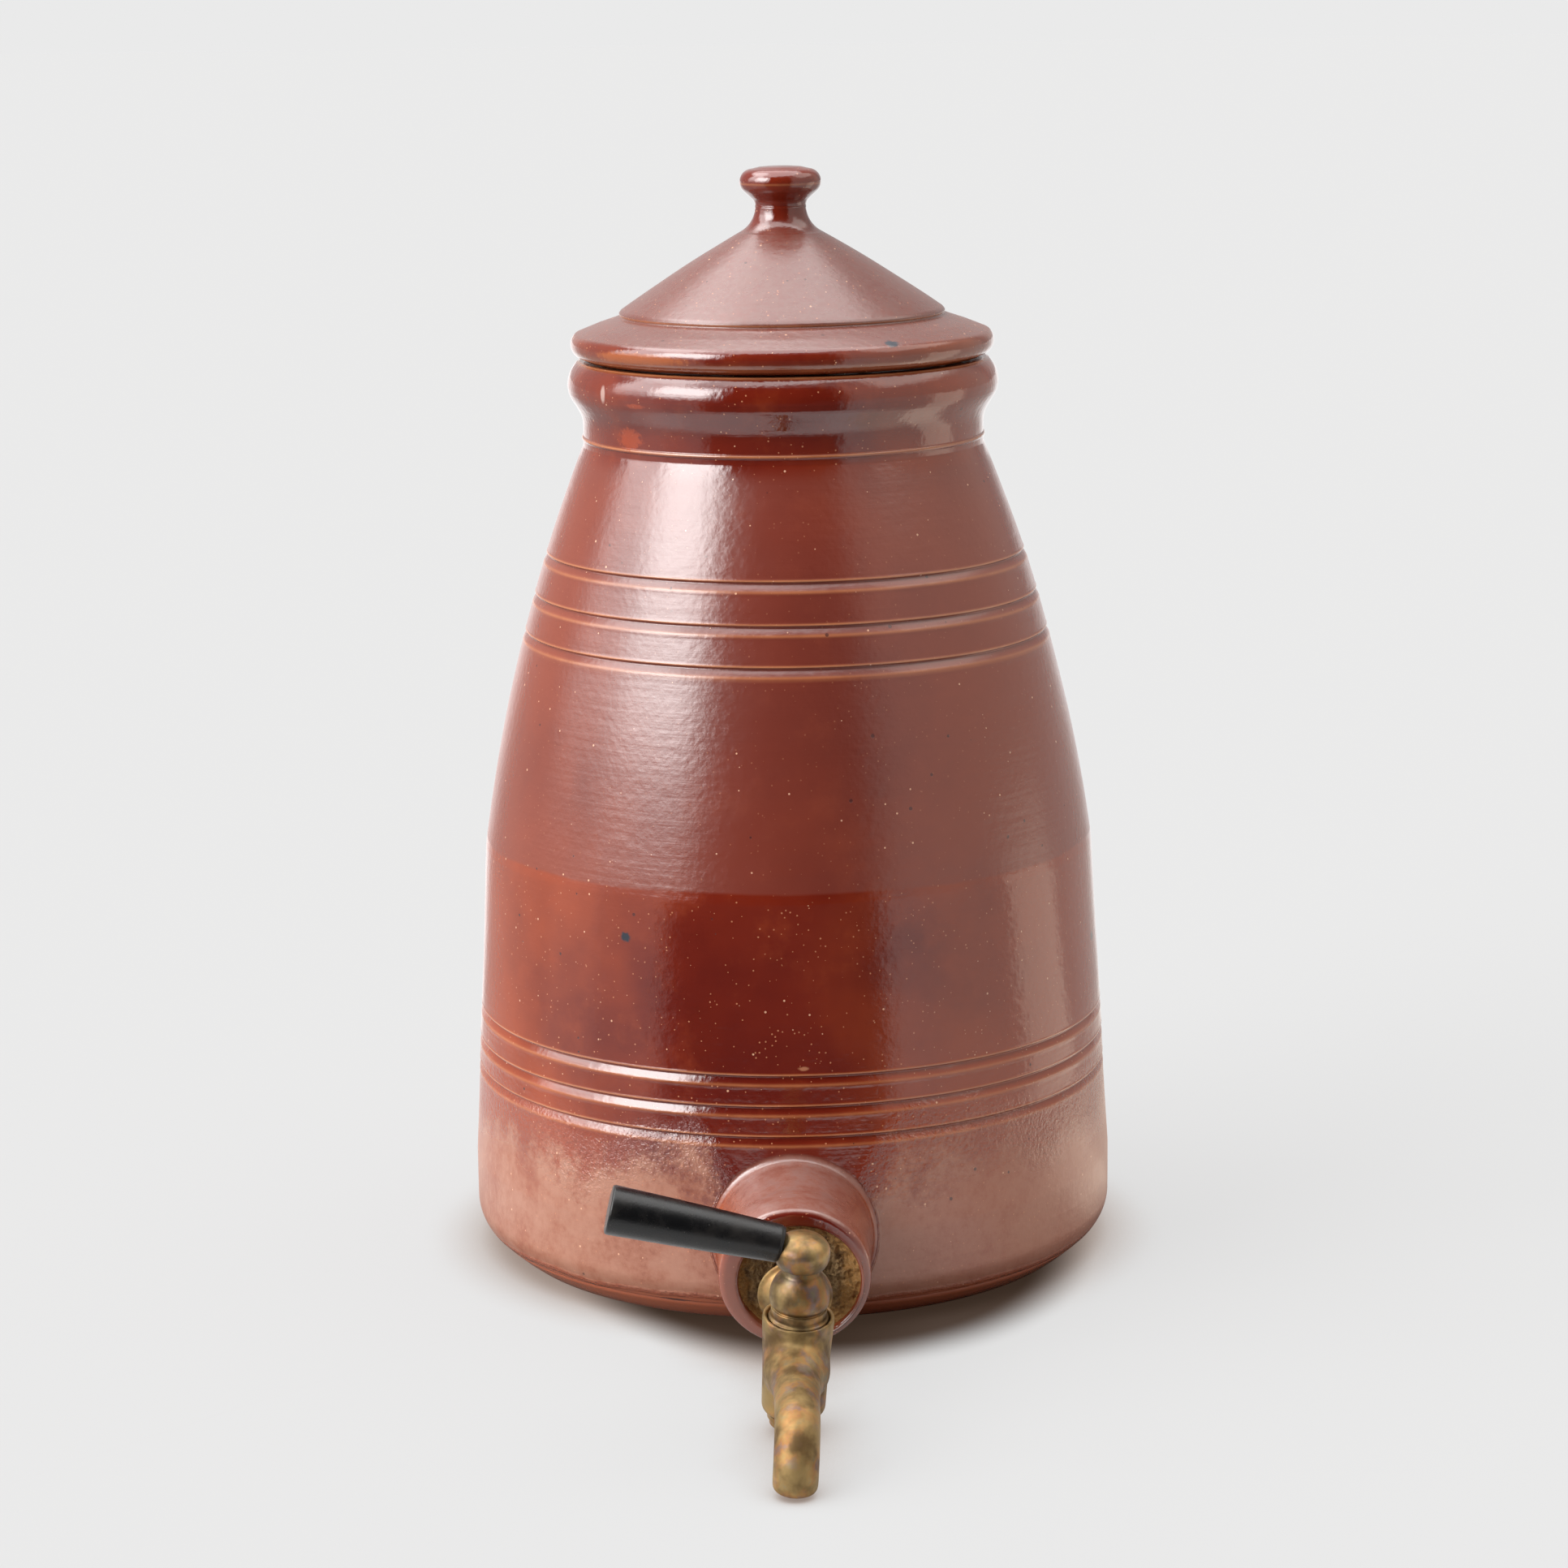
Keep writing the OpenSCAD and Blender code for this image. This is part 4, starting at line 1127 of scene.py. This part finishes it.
# %% Finishes on the solids
for node_name, finish in (("cork_bung", cork), ("key_washer", key.data.materials[0]),
                          ("key_screw", key.data.materials[0]), ("handle_pin", steel)):
    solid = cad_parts[node_name]
    solid.data.materials.clear()
    solid.data.materials.append(finish)
    softened = solid.modifiers.new("soft_edges", "BEVEL")
    softened.width, softened.segments, softened.limit_method = 0.15 * MM, 2, "ANGLE"

# %% [markdown]
# ## Floor and light
#
# The pot stands on a pale floor under soft daylight. The light comes from the
# world: a pale room, a large window to the front left and a dark side towards
# the viewer, which gives the glaze its deep middle. Lamps would throw edged
# shadows. The camera sees an even pale tone behind the pot, and the floor is
# drawn close to it, with a faint glow of its own and a soft shadow.

# %% The room
PALE, WHITE, WARM = 0.8228, (1, 1, 1, 1), (1.0, 0.94, 0.88, 1)
SKY_WAY = (-0.17, 0.12, 0.977)       # the middle of the bright patch overhead


def room():
    """A world of soft panes, each from left to right and from low to high, in degrees."""
    world = bpy.data.worlds.new("Room")
    world.use_nodes = True
    tree = world.node_tree
    tree.nodes.clear()
    way = add(tree, "TexCoord").outputs["Generated"]
    turn = bearing(way)
    rise = maths("ARCSINE", split(way)[2]) * DEGREES

    def pane(left, right, low, high, soft_side, soft_up):
        return soft_span(turn, left, right, soft_side) * soft_span(rise, low, high, soft_up)

    def wall(left, right, soft):
        return pane(left, right, -90.0, 60.0, soft, 15.0)

    viewer = 1.0 - pane(-38.0, 34.0, -90.0, 50.0, 7.0, 6.0) * 0.93
    behind = wall(-195.0, -150.0, 10.0) + wall(150.0, 195.0, 10.0)
    walls = 0.30 + wall(30.0, 140.0, 7.0) * 0.26 + wall(-180.0, -100.0, 4.0) * 0.13 + behind * 0.25
    window = pane(-74.0, -39.0, 6.0, 44.0, 8.0, 8.0) + pane(-105.0, -72.0, 2.0, 44.0, 6.0, 7.0) * 0.4
    overhead = ramp(vectors("DOT_PRODUCT", way, SKY_WAY), 0.74, 0.84)
    light = (walls * viewer + window * ramp(rise, 4.0, 26.0, 2.4, 9.2)
             + pane(-135.0, -70.0, 46.0, 70.0, 8.0, 6.0) * 3.0
             + pane(60.0, 130.0, 34.0, 66.0, 8.0, 6.0) * 1.2 + overhead * 2.3)
    warm = blend(wall(26.0, 140.0, 8.0), WHITE, WARM)
    lit = add(tree, "Background", {"Color": warm, "Strength": light})
    shown = add(tree, "Background", {"Color": (PALE, PALE, PALE, 1), "Strength": 1.0})
    seen = add(tree, "LightPath").outputs["Is Camera Ray"]
    both = add(tree, "MixShader", {0: seen, 1: lit.outputs[0], 2: shown.outputs[0]})
    feed(add(tree, "OutputWorld").inputs[0], both.outputs[0])
    return world


bpy.context.scene.world = room()

# %% The floor
FLOOR_SIZE, FLOOR_ALBEDO, FLOOR_SEEN, FLOOR_GLOW = 20.0, 0.25, 0.09, 0.641
CONTACT_SHADE_BROWN, SHADE, MIRRORED, GLOOM = (0.9, 0.72, 0.62, 1), (0.08, 0.04, 0.02, 1), (1.0, 0.84, 0.68, 1), 0.06


def floor():
    """A plane that looks even to the camera, and that the glaze mirrors as a table in a room."""
    corners = [(-1, -1, 0), (1, -1, 0), (1, 1, 0), (-1, 1, 0)]
    thing = mesh_object("floor", np.array(corners) * FLOOR_SIZE, [(0, 1, 2, 3)], smooth=False)
    made, where, shader = material("Pale_floor")
    tree = made.node_tree
    tree.nodes.remove(shader)
    path = add(tree, "LightPath").outputs
    seen, mirrored = path["Is Camera Ray"], path["Is Glossy Ray"]
    tone = FLOOR_ALBEDO - seen * (FLOOR_ALBEDO - FLOOR_SEEN)
    near = add(tree, "AmbientOcclusion", {"Distance": 0.03}, samples=16).outputs["AO"]
    # the soft shadow under the belly, drawn a little to the front right
    under = vectors("SUBTRACT", where, (0.010, -0.023, 0.0))
    under = vectors("LENGTH", vectors("MULTIPLY", under, (1.3, 1.0, 1.0)))
    under = ramp(under, 0.086, 0.112, 1.0, 0.0) * seen
    # painted contact shade: ambient occlusion darkens the floor near the pot and tints it brown, here and in
    # its glow below
    tint = blend(ramp(near, 0.1, 0.9), CONTACT_SHADE_BROWN, WHITE)
    tint = blend(under * 0.95, tint, SHADE)
    grey = add(tree, "CombineColor", {0: tone, 1: tone, 2: tone}).outputs[0]
    plain = add(tree, "BsdfDiffuse", {"Color": blend(1.0, grey, tint, "MULTIPLY")})
    glow = ramp(near, 0.1, 0.9, 0.5, 1.0) * seen * FLOOR_GLOW
    # what the glaze mirrors of the table: pale to the right, a strip on each side
    turn, away = bearing(where), vectors("LENGTH", where)

    def strip(left, right, soft, strength):
        return soft_span(turn, left, right, soft) * strength

    table = (strip(32.0, 150.0, 5.0, 0.12) + strip(85.0, 111.0, 3.0, 0.72) + strip(-94.0, -70.0, 4.0, 0.12)
             + strip(-195.0, -150.0, 10.0, 0.9) + strip(152.0, 195.0, 10.0, 0.75)
             + ramp(away, 0.24, 0.40, 0.45, 0.0))
    table = table * ramp(away, 0.105, 0.15) * mirrored
    warm = mirrored * soft_span(turn, 50.0, 150.0, 10.0)
    glow = add(tree, "Emission", {"Color": blend(warm, tint, MIRRORED), "Strength": glow + table})
    lit = add(tree, "AddShader", {0: plain.outputs[0], 1: glow.outputs[0]})
    # towards the viewer it mirrors a dark room
    gloom = add(tree, "Emission", {"Color": (GLOOM, GLOOM, GLOOM, 1), "Strength": 1.0})
    ahead = soft_span(turn, -44.0, 32.0, 5.0) * ramp(away, 0.30, 0.45)
    both = add(tree, "MixShader", {0: mirrored * ahead, 1: lit.outputs[0], 2: gloom.outputs[0]})
    feed(tree.nodes["Material Output"].inputs[0], both.outputs[0])
    thing.data.materials.append(made)


floor()

# %% [markdown]
# ## The camera
#
# The view is from 1.2 m in front and a little above, looking down by nearly
# twelve degrees, through a long lens, with the slightest roll.

# %% Camera
EYE, PITCH, ROLL, LENS = (-0.00126, -1.2058, 0.3974), 11.8, 0.75, 89.69

eye = bpy.data.objects.new("eye", bpy.data.cameras.new("eye"))
bpy.context.scene.collection.objects.link(eye)
eye.data.sensor_width, eye.data.lens = 36.0, LENS
eye.data.clip_start, eye.data.clip_end = 0.05, 60.0
eye.matrix_world = (Matrix.Translation(EYE) @ Matrix.Rotation(math.radians(90 - PITCH), 4, "X")
                    @ Matrix.Rotation(math.radians(-ROLL), 4, "Z"))
bpy.context.scene.camera = eye
bpy.context.scene.view_settings.view_transform = "Standard"
